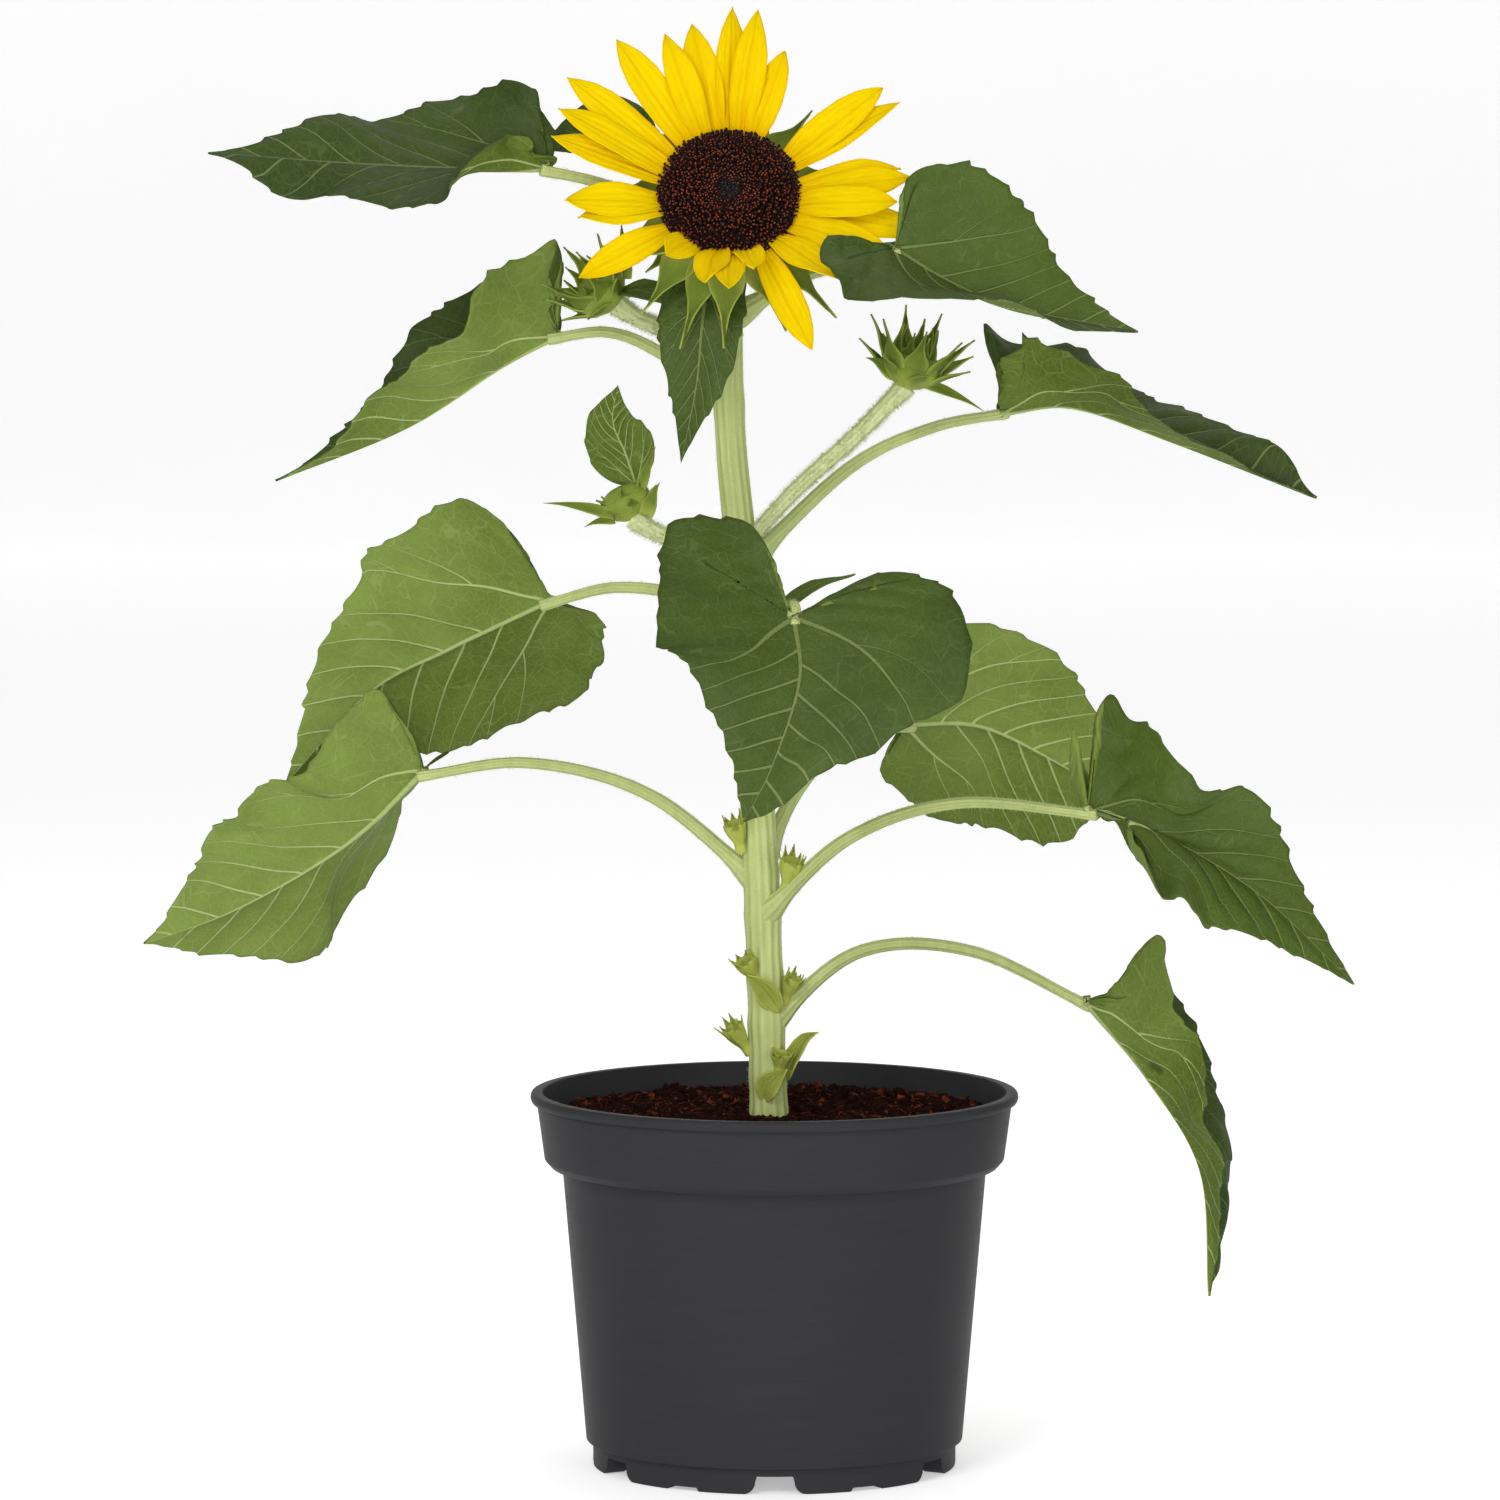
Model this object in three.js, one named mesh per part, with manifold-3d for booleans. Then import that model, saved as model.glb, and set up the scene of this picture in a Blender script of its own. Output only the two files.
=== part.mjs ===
// A potted sunflower: a round nursery pot of soil, one ribbed stem with long-stalked heart-shaped
// leaves, an open bloom and three green buds. Millimetres, +Z up, front towards -Y. The origin is
// the centre of the pot's underside.
import * as THREE from "three";
import { mergeVertices } from "three/addons/utils/BufferGeometryUtils.js";
import Module from "manifold-3d";

const wasm = await Module();
wasm.setup();

// ---------------------------------------------------------------- driving dimensions

const GAP = 0.3; // clearance between neighbouring solids
const CUT = 2; // how far a cutting solid runs past what it cuts

const POT = {
  height: 146.5, rim: 95, bead: 4, beadRound: 1,
  collarTop: 92.3, collarFoot: 89.5, collarHeight: 25, collarRound: 3,
  bodyTop: 82.6, bodyFoot: 73.4, footRadius: 70.8, footHeight: 10,
  wall: 2, floor: 9.4, padRadius: 22, recess: 7.4, recessRadius: 60, recessSlope: 2,
  notches: 6, notchWidth: 15, notchHeight: 7, notchSlope: 2, sides: 24,
};
// the soil's surface: level, flat patch round the stem, rings, bumps and one heap
const SOIL = {
  level: 137.5, stemPatch: 11, rings: [70, 52, 32], edgeDrop: 0.4,
  bump: 1.6, bumpPace: [0.21, 0.26], heap: 5, heapAt: [42, 24], heapSpread: 22,
};
const STEM = {
  path: [[-2, 0, 136.3], [-4, 2, 200], [-6, 5, 245], [-11, 9, 330], [-14, 10, 400], [-16, 8, 450],
    [-17, 2, 473], [-18, -8, 483.5], [-18, -18, 489]],
  foot: 7.2, top: 5.4, sides: 8, steps: 15,
};
const BLOOM = {
  centre: [-18, -33, 497], tilt: 29, disc: 27.5, dome: 6.5, hollow: 1.6, discBack: 1.5,
  ringInner: 17, ringOuter: 26, ringDepth: 2, petalHalf: 6.6, petalThick: 1.1, petalRise: 1.5,
  cupDepth: 17, cupNeck: 7.6, cupWaist: 12.6, bractHalf: 5.6, bractThick: 1.2, bladeRoot: 22, sides: 16,
};
// each ray petal: direction round the disc and pitch out of its plane in degrees, and length
const PETALS = [
  [89, 20, 50], [81, 24, 49], [69, 20, 39], [33, 20, 48], [27, 16, 50], [5, 15, 42],
  [0, 19, 46], [-10, 22, 44], [-15, 9, 52], [-27, 15, 46], [-47, 24, 38], [-62, -15, 46],
  [-76, 42, 24], [-90, 42, 44], [-100, 40, 37], [-125, 42, 26], [-147, 5, 46],
  [-168, 9, 37], [-177, 14, 42], [165, 12, 46], [156, 19, 48], [145, 17, 52], [126, 18, 50],
  [112, 22, 44], [102, 18, 45],
];
// each bract under the petals: direction, pitch and length, as for the petals
const BRACTS = [
  [76, 6, 34], [52, -4, 30], [122, 0, 37], [148, -6, 30], [170, -8, 28], [20, -8, 28], [-4, -10, 28],
  [-28, -10, 28], [-48, -12, 40], [-66, -22, 34], [-92, -10, 38], [-108, -16, 40], [-128, -18, 34],
  [-152, -8, 32], [98, -2, 30],
];

// A leaf: rib = the midrib's course from stalk to tip; up = directions its upper face looks in, from
// stalk to tip; half = half-widths left and right of the rib; fold = how far each half is folded up
// at 0, 20, 50 and 100 % of the rib, in degrees; lobe = how far each half reaches back past the
// stalk; base = how full each half is beside the stalk; stalk = the petiole's course up to the leaf.
const LEAVES = {
  top_left: {
    rib: [[-87, -14, 505], [-124, -22, 505], [-166, -30, 507], [-216, -34, 511]],
    up: [[0, -0.52, 0.85]], half: [36, 36], fold: [[100, 15, -2, 0], [55, 22, 5, 5]],
    lobe: [0.15, 0.15], base: [0.4, 1], stalk: [[-16, 4, 468], [-36, -4, 487], [-67, -10, 499]],
  },
  small_behind_bloom: {
    rib: [[-46, 13, 519], [-64, 14, 520], [-79, 17, 516], [-94, 20, 512]],
    up: [[0, -0.7, 0.7]], half: [14, 14], fold: [[20, 20, 20, 20], [20, 20, 20, 20]],
    lobe: [0.4, 0.4], outline: "lance", stalk: [[-17, 4, 472], [-26, 14, 495], [-36, 14, 511]],
  },
  upper_left: {
    rib: [[-85, 18, 440], [-107, 24, 428], [-144, 30, 404], [-195, 30, 383]],
    up: [[0, 0, 1]], half: [36, 36], fold: [[82, 38, 28, 25], [66, 70, 72, 40]],
    lobe: [0.4, 0.3], stalk: [[-15, 10, 413], [-42, 12, 432], [-64, 15, 441]],
  },
  small_front: {
    rib: [[-26, -30, 460], [-28, -38, 443], [-30, -38, 422], [-36, -30, 392]],
    up: [[0, -1, 0.4], [0, -1, 0]], half: [16, 17], fold: [[15, 15, 20, 40], [15, 15, 20, 20]],
    lobe: [0.6, 0.6], stalk: [[-16, 5, 440], [-19, -12, 456], [-23, -24, 461]], girth: [2, 1.5],
  },
  top_right: {
    rib: [[45, -57, 475], [67, -64, 462], [93, -68, 452], [137, -68, 444]],
    up: [[0, -0.6, 0.8]], half: [44, 42], fold: [[38, 36, 34, 10], [4, 30, 34, 25]],
    lobe: [0.2, 1.1], stalk: [[-15, 7, 448], [8, -6, 462], [24, -38, 468], [36, -54, 471]],
  },
  upper_right: {
    rib: [[89, 46, 409], [118, 56, 411], [160, 66, 396], [215, 70, 374]],
    up: [[0, 0, 1]], half: [36, 34], fold: [[60, 42, 28, 58], [84, 58, 12, 0]],
    lobe: [0.12, 0.12], base: [0.7, 1], stalk: [[-10, 10, 352], [29, 20, 388], [61, 34, 403]],
  },
  middle_left: {
    rib: [[-89, 60, 334], [-129, 75, 314], [-161, 82, 296], [-195, 85, 259]],
    up: [[0, 0.8, 0.6], [0, 0.9, 0.4]], half: [51, 54], fold: [[10, 12, 12, 12], [8, 10, 8, 10]],
    lobe: [0.15, 0.45], stalk: [[-9, 9, 312], [-29, 25, 335], [-61, 45, 340]],
  },
  lower_left: {
    rib: [[-138, 55, 267], [-169, 75, 237], [-213, 85, 210], [-252, 85, 195]],
    up: [[0.25, 0.75, 0.3], [-0.2, 0.7, 0.6], [-0.2, 0.7, 0.6]], half: [39, 50],
    fold: [[0, 32, 10, 10], [85, 72, -4, -5]], lobe: [0.3, 0.2], base: [1, 0.5], outline: "broad",
    stalk: [[-6, 4, 228], [-49, 25, 260], [-96, 42, 271]], bent: true,
  },
  centre_front: {
    rib: [[7, -88, 337], [9, -100, 314], [-1, -106, 283], [-12, -104, 261]],
    up: [[0, -0.9, 0.4], [0, -1, 0.1]], half: [66, 56], fold: [[8, 8, 10, 12], [4, 10, 14, 12]],
    lobe: [1.1, 2.8], stalk: [[-7, 5, 285], [-1, -25, 318], [4, -58, 336], [7, -81, 341]],
  },
  middle_right: {
    rib: [[52, 75, 284], [82, 90, 282], [111, 98, 268], [140, 98, 250]],
    up: [[0.1, 0.9, 0.4], [0.1, 0.9, 0.3]], half: [64, 42], fold: [[8, 8, 5, 5], [10, 10, 10, 10]],
    lobe: [0.2, 1], outline: "broad", stalk: [[-5, 6, 236], [10, 25, 263], [30, 50, 281]],
  },
  lower_right: {
    rib: [[120, -45, 260], [147, -58, 252], [184, -64, 230], [221, -60, 195]],
    up: [[0.2, -0.7, 0.6]], half: [40, 40], fold: [[25, 50, 42, 10], [128, 20, 12, 12]],
    lobe: [0.1, 0.6], base: [1, 0.75], stalk: [[-5, 2, 214], [29, -15, 247], [71, -32, 262]],
    bent: true,
  },
  bottom_right: {
    rib: [[123, 30, 178], [148, 36, 147], [169, 36, 110], [172, 30, 61]],
    up: [[0.6, 0, 0.7], [0.85, 0, 0.5], [0.7, 0.7, 0.2]], half: [33, 34],
    fold: [[75, 66, 50, 15], [88, 60, 30, 5]], lobe: [0.12, 0.12],
    stalk: [[-3, 1, 172], [33, 8, 200], [77, 20, 199]], bent: true,
  },
  back: {
    rib: [[14, 84, 318], [18, 104, 308], [21, 116, 286], [20, 116, 250]],
    up: [[0.1, 0.5, 0.85], [0, 1, 0.2]], half: [38, 38], fold: [[14, 14, 12, 10], [14, 14, 12, 10]],
    lobe: [1, 1], stalk: [[-9, 9, 276], [0, 32, 300], [8, 58, 314]],
  },
};
const LEAF_THICK = 1.6;
const NARROW_THICK = 1.2;
const SEAT = 3; // how far along the rib the petiole runs under the leaf
const STALK_GIRTH = [3, 2.1]; // radius at the stem and at the leaf
const STALK_SIDES = 6;
const STALK_STEPS = 5;

const NARROW_LEAVES = {
  bud_left: {
    rib: [[-62, -7, 450], [-50, -12, 451], [-40, -14, 451], [-30, -15, 449]],
    up: [[0, -0.8, 0.6]], half: [6, 6],
  },
  bud_middle: {
    rib: [[-54, 30.4, 381], [-58, 30, 393], [-63, 28, 406], [-61, 28, 420]],
    up: [[0, 1, 0.1]], half: [13, 13],
  },
  axil_front: {
    rib: [[-9, 6, 314], [-1, -6, 330], [13, -12, 343], [31, -14, 349]],
    up: [[-0.3, -0.5, 0.8]], half: [5, 5],
  },
  scale_low_right: {
    rib: [[5, -2, 151], [8, -4, 160], [12, -5, 167], [17, -6, 170]],
    up: [[-0.7, -0.6, 0.3]], half: [5, 5],
  },
  scale_low_front: {
    rib: [[-4, -6, 143], [-3, -8.5, 148], [0, -9.5, 152], [5, -9.5, 156]],
    up: [[-0.3, -0.9, 0]], half: [5, 5],
  },
  scale_mid_left: {
    rib: [[2, -4.5, 178], [-2, -7, 184], [-5, -8.5, 188], [-11, -9.5, 193]],
    up: [[-0.2, -0.9, 0.2]], half: [5, 5],
  },
};
const BUDS = {
  left: { base: [-62, -2, 453], aim: [-0.75, -0.35, 0.6], cup: 12, length: 13, points: 8, reach: 15,
    stalk: [[-15, 8, 424], [-38, 5, 440], [-53, 0, 447]], girth: [3.2, 3.4] },
  right: { base: [51, -2, 421], aim: [0.25, -0.2, 0.9], cup: 12, length: 13, points: 8, reach: 17,
    stalk: [[-11, 7, 359], [8, 5, 380], [30, 1, 400]], girth: [3.2, 3.8] },
  middle: { base: [-57, 19, 371], aim: [-0.6, 0.1, 0.55], cup: 9.5, length: 10, points: 7, reach: 12,
    stalk: [[-10, 9, 341], [-28, 14, 356], [-47, 18, 365]], girth: [2.8, 3.2] },
};
// small buds in the leaf axils: foot, direction, radius, height
const AXIL_BUDS = [
  [[-13, 1, 241], [-0.25, -0.3, 0.9], 4.2, 13], [[4.5, -3, 226], [0.2, -0.3, 0.9], 4.6, 14],
  [[-8, -4.5, 191], [-0.4, -0.3, 0.8], 4.4, 10], [[4, -1, 182], [0.35, -0.3, 0.9], 3.6, 12],
  [[-10, 0, 162], [-0.55, -0.2, 0.8], 4.2, 14], [[2, -6, 155], [0.1, -0.25, 0.9], 4, 9],
];

// ---------------------------------------------------------------- materials

const matte = (colour, roughness) => new THREE.MeshStandardMaterial({ color: colour, roughness });
const POT_BLACK = matte(0x2e2e31, 0.45);
const SOIL_BROWN = matte(0x1e0f0c, 0.95);
const STEM_GREEN = matte(0xa9b466, 0.7);
const LEAF_GREEN = matte(0x55703a, 0.6);
const PETAL_YELLOW = matte(0xf2cb06, 0.55);
const DISC_BROWN = matte(0x39180f, 0.85);
const BUD_GREEN = matte(0x6f8433, 0.65);

// ---------------------------------------------------------------- helpers

const V = (p) => new THREE.Vector3(...p);
const course = (points) => new THREE.CatmullRomCurve3(points.map(V), false, "catmullrom");
const radians = THREE.MathUtils.degToRad;

let seed = 7;
// repeatable random number from -1 to 1
function jitter() {
  seed = (seed * 16807) % 2147483647;
  return seed / 1073741823.5 - 1;
}

// a closed solid from a geometry, without the triangles that merged vertices have closed up
function solid(geometry) {
  const bare = new THREE.BufferGeometry();
  bare.setAttribute("position", geometry.getAttribute("position").clone());
  bare.setIndex(geometry.getIndex());
  const merged = mergeVertices(bare, 1e-3);
  const index = merged.getIndex().array;
  const kept = [];
  for (let i = 0; i < index.length; i += 3) {
    const [a, b, c] = [index[i], index[i + 1], index[i + 2]];
    if (a !== b && b !== c && c !== a) kept.push(a, b, c);
  }
  const vertProperties = new Float32Array(merged.getAttribute("position").array);
  return new wasm.Manifold(new wasm.Mesh({ numProp: 3, vertProperties, triVerts: new Uint32Array(kept) }));
}

// the largest of the pieces that a cut has left
function largest(body) {
  const pieces = body.decompose();
  return pieces.reduce((best, piece) => (piece.volume() > best.volume() ? piece : best));
}

const group = new THREE.Group();

// adds a solid to the plant as a named mesh
function add(name, body, material) {
  const mesh = body.getMesh();
  const geometry = new THREE.BufferGeometry();
  geometry.setAttribute("position", new THREE.BufferAttribute(mesh.vertProperties, 3));
  geometry.setIndex(new THREE.BufferAttribute(mesh.triVerts, 1));
  geometry.computeVertexNormals();
  const part = new THREE.Mesh(geometry, material);
  part.name = name;
  group.add(part);
}

// moves every vertex of a geometry to where place(vertex) puts it
function reshape(geometry, place) {
  const position = geometry.getAttribute("position");
  const p = new THREE.Vector3();
  for (let i = 0; i < position.count; i += 1) {
    const q = place(p.fromBufferAttribute(position, i));
    position.setXYZ(i, q.x, q.y, q.z);
  }
  return geometry;
}

// a turned solid about Z from a profile of [radius, height] that starts and ends on the axis
function turned(profile, sides) {
  const points = profile.map(([r, z]) => new THREE.Vector2(r, z));
  return new THREE.LatheGeometry(points, sides).rotateX(Math.PI / 2);
}

const SIDEWAYS = new THREE.Vector3(0.17, 0.98, 0.1); // a direction that no limb runs along

// directions square to a path at a share of its length
function across(path, share) {
  const along = path.getTangentAt(share);
  const side = new THREE.Vector3().crossVectors(SIDEWAYS, along).normalize();
  return [side, new THREE.Vector3().crossVectors(along, side)];
}

// a round limb that tapers along a path, between two shares of the path's length
function limb(path, footRadius, topRadius, sides, steps, from = 0, to = 1) {
  const cylinder = new THREE.CylinderGeometry(1, 1, 1, sides, steps);
  return solid(reshape(cylinder, (p) => {
    const share = from + (p.y + 0.5) * (to - from);
    const radius = THREE.MathUtils.lerp(footRadius, topRadius, share);
    const [side, other] = across(path, share);
    return path.getPointAt(share).addScaledVector(other, p.x * radius).addScaledVector(side, p.z * radius);
  }));
}

// ---------------------------------------------------------------- blades: leaves, petals, bracts

// half outlines from stalk to tip: share of the rib's length, share of the half-width
const OUTLINES = {
  heart: [[0, 0], [-0.07, 0.12], [-0.16, 0.32], [-0.17, 0.58], [-0.09, 0.82], [0.05, 0.97], [0.2, 1],
    [0.36, 0.9], [0.52, 0.7], [0.68, 0.45], [0.83, 0.21], [0.93, 0.08], [1, 0]],
  broad: [[0, 0], [-0.07, 0.12], [-0.16, 0.34], [-0.17, 0.6], [-0.09, 0.84], [0.06, 0.97], [0.22, 1],
    [0.4, 0.95], [0.56, 0.82], [0.71, 0.6], [0.85, 0.33], [0.94, 0.12], [1, 0]],
  lance: [[0, 0], [0, 0.1], [0.03, 0.35], [0.1, 0.65], [0.22, 0.9], [0.36, 1], [0.52, 0.92],
    [0.68, 0.68], [0.82, 0.38], [0.93, 0.13], [1, 0]],
};
const FOLD_AT = [0, 0.2, 0.5, 1];
const BLADE_FOLD = [18, 18, 18, 18]; // of a leaf that names no fold
const FAN = 0.3; // share of the margin whose veins all spring from the stalk
const VEIN_BOW = 0.12;
const VEIN_SPREAD = 1.25; // above 1, veins spring closer together near the stalk
const FULL_AT = 0.35; // share of the rib beyond which a half has its full width
const SMOOTHING = 0.04; // share of the rib over which its direction is taken

// the value at a share of the way, between values kept at stations
function keyed(values, stations, share) {
  let i = 1;
  while (i < stations.length - 1 && share > stations[i]) i += 1;
  const t = THREE.MathUtils.clamp((share - stations[i - 1]) / (stations[i] - stations[i - 1]), 0, 1);
  return THREE.MathUtils.lerp(values[i - 1], values[i], t);
}

// flat place (along the rib, out from it) of a point by its share of the margin and of the way out
function flatPlace(leaf, length, share, out, half) {
  const lobe = leaf.lobe ? leaf.lobe[half] : 1;
  const outline = OUTLINES[leaf.outline ?? "heart"];
  const edge = new THREE.CatmullRomCurve3(
    outline.map(([x, y]) => new THREE.Vector3(x < 0 ? x * lobe : x, y, 0)), false, "catmullrom",
  ).getPoint(share);
  const base = leaf.base ? leaf.base[half] : 1;
  edge.y *= THREE.MathUtils.lerp(base, 1, THREE.MathUtils.smoothstep(edge.x, 0, FULL_AT));
  edge.set(edge.x * length, edge.y * leaf.half[half], 0);
  const spring = Math.max(0, (share - FAN) / (1 - FAN)) ** VEIN_SPREAD;
  const root = new THREE.Vector3(spring * length, 0, 0);
  const bow = root.clone().add(edge).multiplyScalar(0.5);
  if (spring > 0) bow.x -= VEIN_BOW * edge.distanceTo(root);
  return new THREE.QuadraticBezierCurve3(root, bow, edge).getPoint(out);
}

// place and upward normal on the bent leaf of a flat point; out is negative right of the rib
function bentPlace(leaf, rib, length, along, out) {
  const share = THREE.MathUtils.clamp(along / length, 0, 1);
  const [before, after] = [Math.max(share - SMOOTHING, 0), Math.min(share + SMOOTHING, 1)];
  const forward = rib.getPointAt(after).sub(rib.getPointAt(before)).normalize();
  const step = share * (leaf.up.length - 1);
  const i = Math.min(Math.floor(step), Math.max(leaf.up.length - 2, 0));
  const up = V(leaf.up[i]).normalize();
  if (leaf.up.length > 1) up.lerp(V(leaf.up[i + 1]).normalize(), step - i);
  up.addScaledVector(forward, -up.dot(forward)).normalize();
  const side = new THREE.Vector3().crossVectors(up, forward).multiplyScalar(out < 0 ? -1 : 1);
  const folds = leaf.fold ? leaf.fold[out < 0 ? 1 : 0] : BLADE_FOLD;
  const fold = radians(keyed(folds, FOLD_AT, share));
  const reach = Math.abs(out);
  const point = rib.getPointAt(share).addScaledVector(forward, Math.min(along, 0));
  point.addScaledVector(side, Math.cos(fold) * reach).addScaledVector(up, Math.sin(fold) * reach);
  const normal = up.clone();
  if (reach > 1e-6) normal.multiplyScalar(Math.cos(fold)).addScaledVector(side, -Math.sin(fold));
  return { point, normal };
}

// a thin closed blade: a flat box of cells, shaped to the outline and bent to the leaf's course
function blade(leaf, thick, rows, columns) {
  const rib = course(leaf.rib);
  const length = rib.getLength();
  const box = new THREE.BoxGeometry(1, 2, 1, rows, 2 * columns, 1);
  return solid(reshape(box, (p) => {
    const flat = flatPlace(leaf, length, p.x + 0.5, Math.abs(p.y), p.y < 0 ? 1 : 0);
    const { point, normal } = bentPlace(leaf, rib, length, flat.x, p.y < 0 ? -flat.y : flat.y);
    return point.addScaledVector(normal, p.z * thick);
  }));
}

// ---------------------------------------------------------------- pot and soil

const collarFootZ = POT.height - POT.bead - POT.collarHeight;
// the pot's inside, from the middle of its floor to the ledge under its collar
const inside = [
  [0, POT.floor], [POT.footRadius - POT.wall, POT.floor],
  [POT.bodyFoot - POT.wall, POT.footHeight + POT.wall], [POT.bodyTop - POT.wall, collarFootZ + POT.wall],
  [POT.collarFoot - POT.wall, collarFootZ + POT.collarRound + POT.wall / 2],
];

function pot() {
  const beadFoot = POT.height - POT.bead;
  const recessRim = POT.recessRadius + POT.recessSlope;
  const outer = [
    [0, 0], [POT.padRadius, 0], [POT.padRadius + POT.recessSlope, POT.recess],
    [POT.recessRadius, POT.recess], [recessRim, 0], [POT.footRadius, 0],
    [POT.footRadius, POT.footHeight], [POT.bodyFoot, POT.footHeight], [POT.bodyTop, collarFootZ],
    [POT.collarFoot - POT.collarRound, collarFootZ], [POT.collarFoot, collarFootZ + POT.collarRound],
    [POT.collarTop, beadFoot], [POT.rim, beadFoot], [POT.rim, POT.height - POT.beadRound],
    [POT.rim - POT.beadRound, POT.height],
  ];
  const inner = [[POT.collarTop - POT.wall, POT.height], ...inside.toReversed()];
  const notch = new THREE.Shape();
  notch.moveTo(-POT.notchWidth / 2 - POT.notchSlope, -CUT);
  notch.lineTo(POT.notchWidth / 2 + POT.notchSlope, -CUT);
  notch.lineTo(POT.notchWidth / 2, POT.notchHeight);
  notch.lineTo(-POT.notchWidth / 2, POT.notchHeight);
  const depth = POT.footRadius - POT.recessRadius + 2 * CUT;
  let body = solid(turned([...outer, ...inner], POT.sides));
  for (let i = 0; i < POT.notches; i += 1) {
    const cutter = new THREE.ExtrudeGeometry(notch, { depth, bevelEnabled: false });
    cutter.rotateX(Math.PI / 2).translate(0, CUT - POT.recessRadius, 0);
    cutter.rotateZ((i * 2 * Math.PI) / POT.notches);
    body = body.subtract(solid(cutter));
  }
  return body;
}

function soil() {
  const inset = POT.wall + GAP;
  const { level, rings, stemPatch, bump, bumpPace, heap, heapAt, heapSpread } = SOIL;
  const rim = THREE.MathUtils.mapLinear(level, collarFootZ, POT.height, POT.collarFoot, POT.collarTop);
  const profile = [
    ...inside.map(([r, z]) => [Math.max(r - GAP, 0), z + GAP]),
    [rim - inset - SOIL.edgeDrop, level], ...rings.map((r) => [r, level]), [stemPatch, level], [0, level],
  ];
  return solid(reshape(turned(profile, POT.sides), (p) => {
    const radius = Math.hypot(p.x, p.y);
    if (p.z < level - 1 || radius > rings[0] + 1 || radius < stemPatch + 1) return p;
    const away = Math.hypot(p.x - heapAt[0], p.y - heapAt[1]) / heapSpread;
    p.z += bump * Math.sin(bumpPace[0] * p.x + 1) * Math.sin(bumpPace[1] * p.y + 2);
    p.z += heap * Math.exp(-(away ** 2));
    return p;
  }));
}

// ---------------------------------------------------------------- bloom and buds

// places a piece modelled about +Z at a point, with its axis along a direction
function aimed(geometry, at, axis) {
  const turn = new THREE.Quaternion().setFromUnitVectors(new THREE.Vector3(0, 0, 1), V(axis).normalize());
  return geometry.applyQuaternion(turn).translate(...at);
}

const tilt = radians(BLOOM.tilt);
const bloomAxis = [0, -Math.cos(tilt), Math.sin(tilt)];

const RAY_SHARES = [0, 0.35, 0.7, 1];
const RAY_FOLD = [12, 12, 8, 4];

// a blade that springs outward and up from a ring about +Z, arched by its rise
function ray(azimuth, pitch, length, root, height, half, rise) {
  const [a, b] = [radians(azimuth), radians(pitch)];
  const outward = new THREE.Vector3(Math.cos(a), Math.sin(a), 0);
  const rib = RAY_SHARES.map((share) => {
    const lift = Math.sin(b) * length * share + rise * Math.sin(Math.PI * share);
    return outward.clone().multiplyScalar(root + Math.cos(b) * length * share).setZ(height + lift).toArray();
  });
  const up = outward.clone().multiplyScalar(-Math.sin(b)).setZ(Math.cos(b)).toArray();
  return { rib, up: [up], half: [half, half], fold: [RAY_FOLD, RAY_FOLD], outline: "lance" };
}

// lays a solid modelled about +Z onto the bloom
function onBloom(body) {
  const frame = new THREE.Matrix4().makeRotationX(Math.PI / 2 - tilt);
  return body.transform(frame.setPosition(...BLOOM.centre).toArray());
}

function bloomDisc() {
  const { disc, dome, hollow, discBack } = BLOOM;
  const profile = [[0, -discBack], [disc - 1.5, -discBack], [disc, 0.6], [disc - 1, 2.4]];
  for (const share of [0.8, 0.5, 0.2]) profile.push([disc * share, dome * Math.sqrt(1 - share ** 2)]);
  profile.push([0, dome - hollow]);
  return onBloom(solid(turned(profile, BLOOM.sides)));
}

function bloomPetals() {
  const { ringInner, ringOuter, ringDepth, discBack } = BLOOM;
  const [front, back] = [-discBack - GAP, -discBack - GAP - ringDepth];
  const corners = [[ringInner, back], [ringOuter, back], [ringOuter, front], [ringInner, front]];
  let body = solid(turned([...corners, corners[0]], BLOOM.sides));
  for (const [azimuth, pitch, length] of PETALS) {
    const height = front - ringDepth / 2;
    const petal = ray(azimuth, pitch, length, BLOOM.bladeRoot, height, BLOOM.petalHalf, BLOOM.petalRise);
    body = body.add(blade(petal, BLOOM.petalThick, 4, 1));
  }
  const reach = BLOOM.disc + GAP;
  const discRoom = [[0, front], [reach, front], [reach, BLOOM.dome], [0, BLOOM.dome + 2]];
  return onBloom(largest(body.subtract(solid(turned(discRoom, BLOOM.sides)))));
}

function bloomCalyx() {
  const front = -BLOOM.discBack - BLOOM.ringDepth - 2 * GAP;
  const { cupDepth, cupNeck, cupWaist, ringOuter, bladeRoot } = BLOOM;
  const profile = [
    [0, front - cupDepth], [cupNeck, front - cupDepth], [cupWaist, front - cupDepth * 0.6],
    [ringOuter - 1, front - cupDepth * 0.2], [ringOuter, front], [0, front],
  ];
  let body = solid(turned(profile, BLOOM.sides));
  for (const [azimuth, pitch, length] of BRACTS) {
    const height = front - cupDepth * 0.13;
    const bract = ray(azimuth, pitch, length, bladeRoot, height, BLOOM.bractHalf, -BLOOM.petalRise);
    body = body.add(blade(bract, BLOOM.bractThick, 2, 1));
  }
  return onBloom(body);
}

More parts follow.
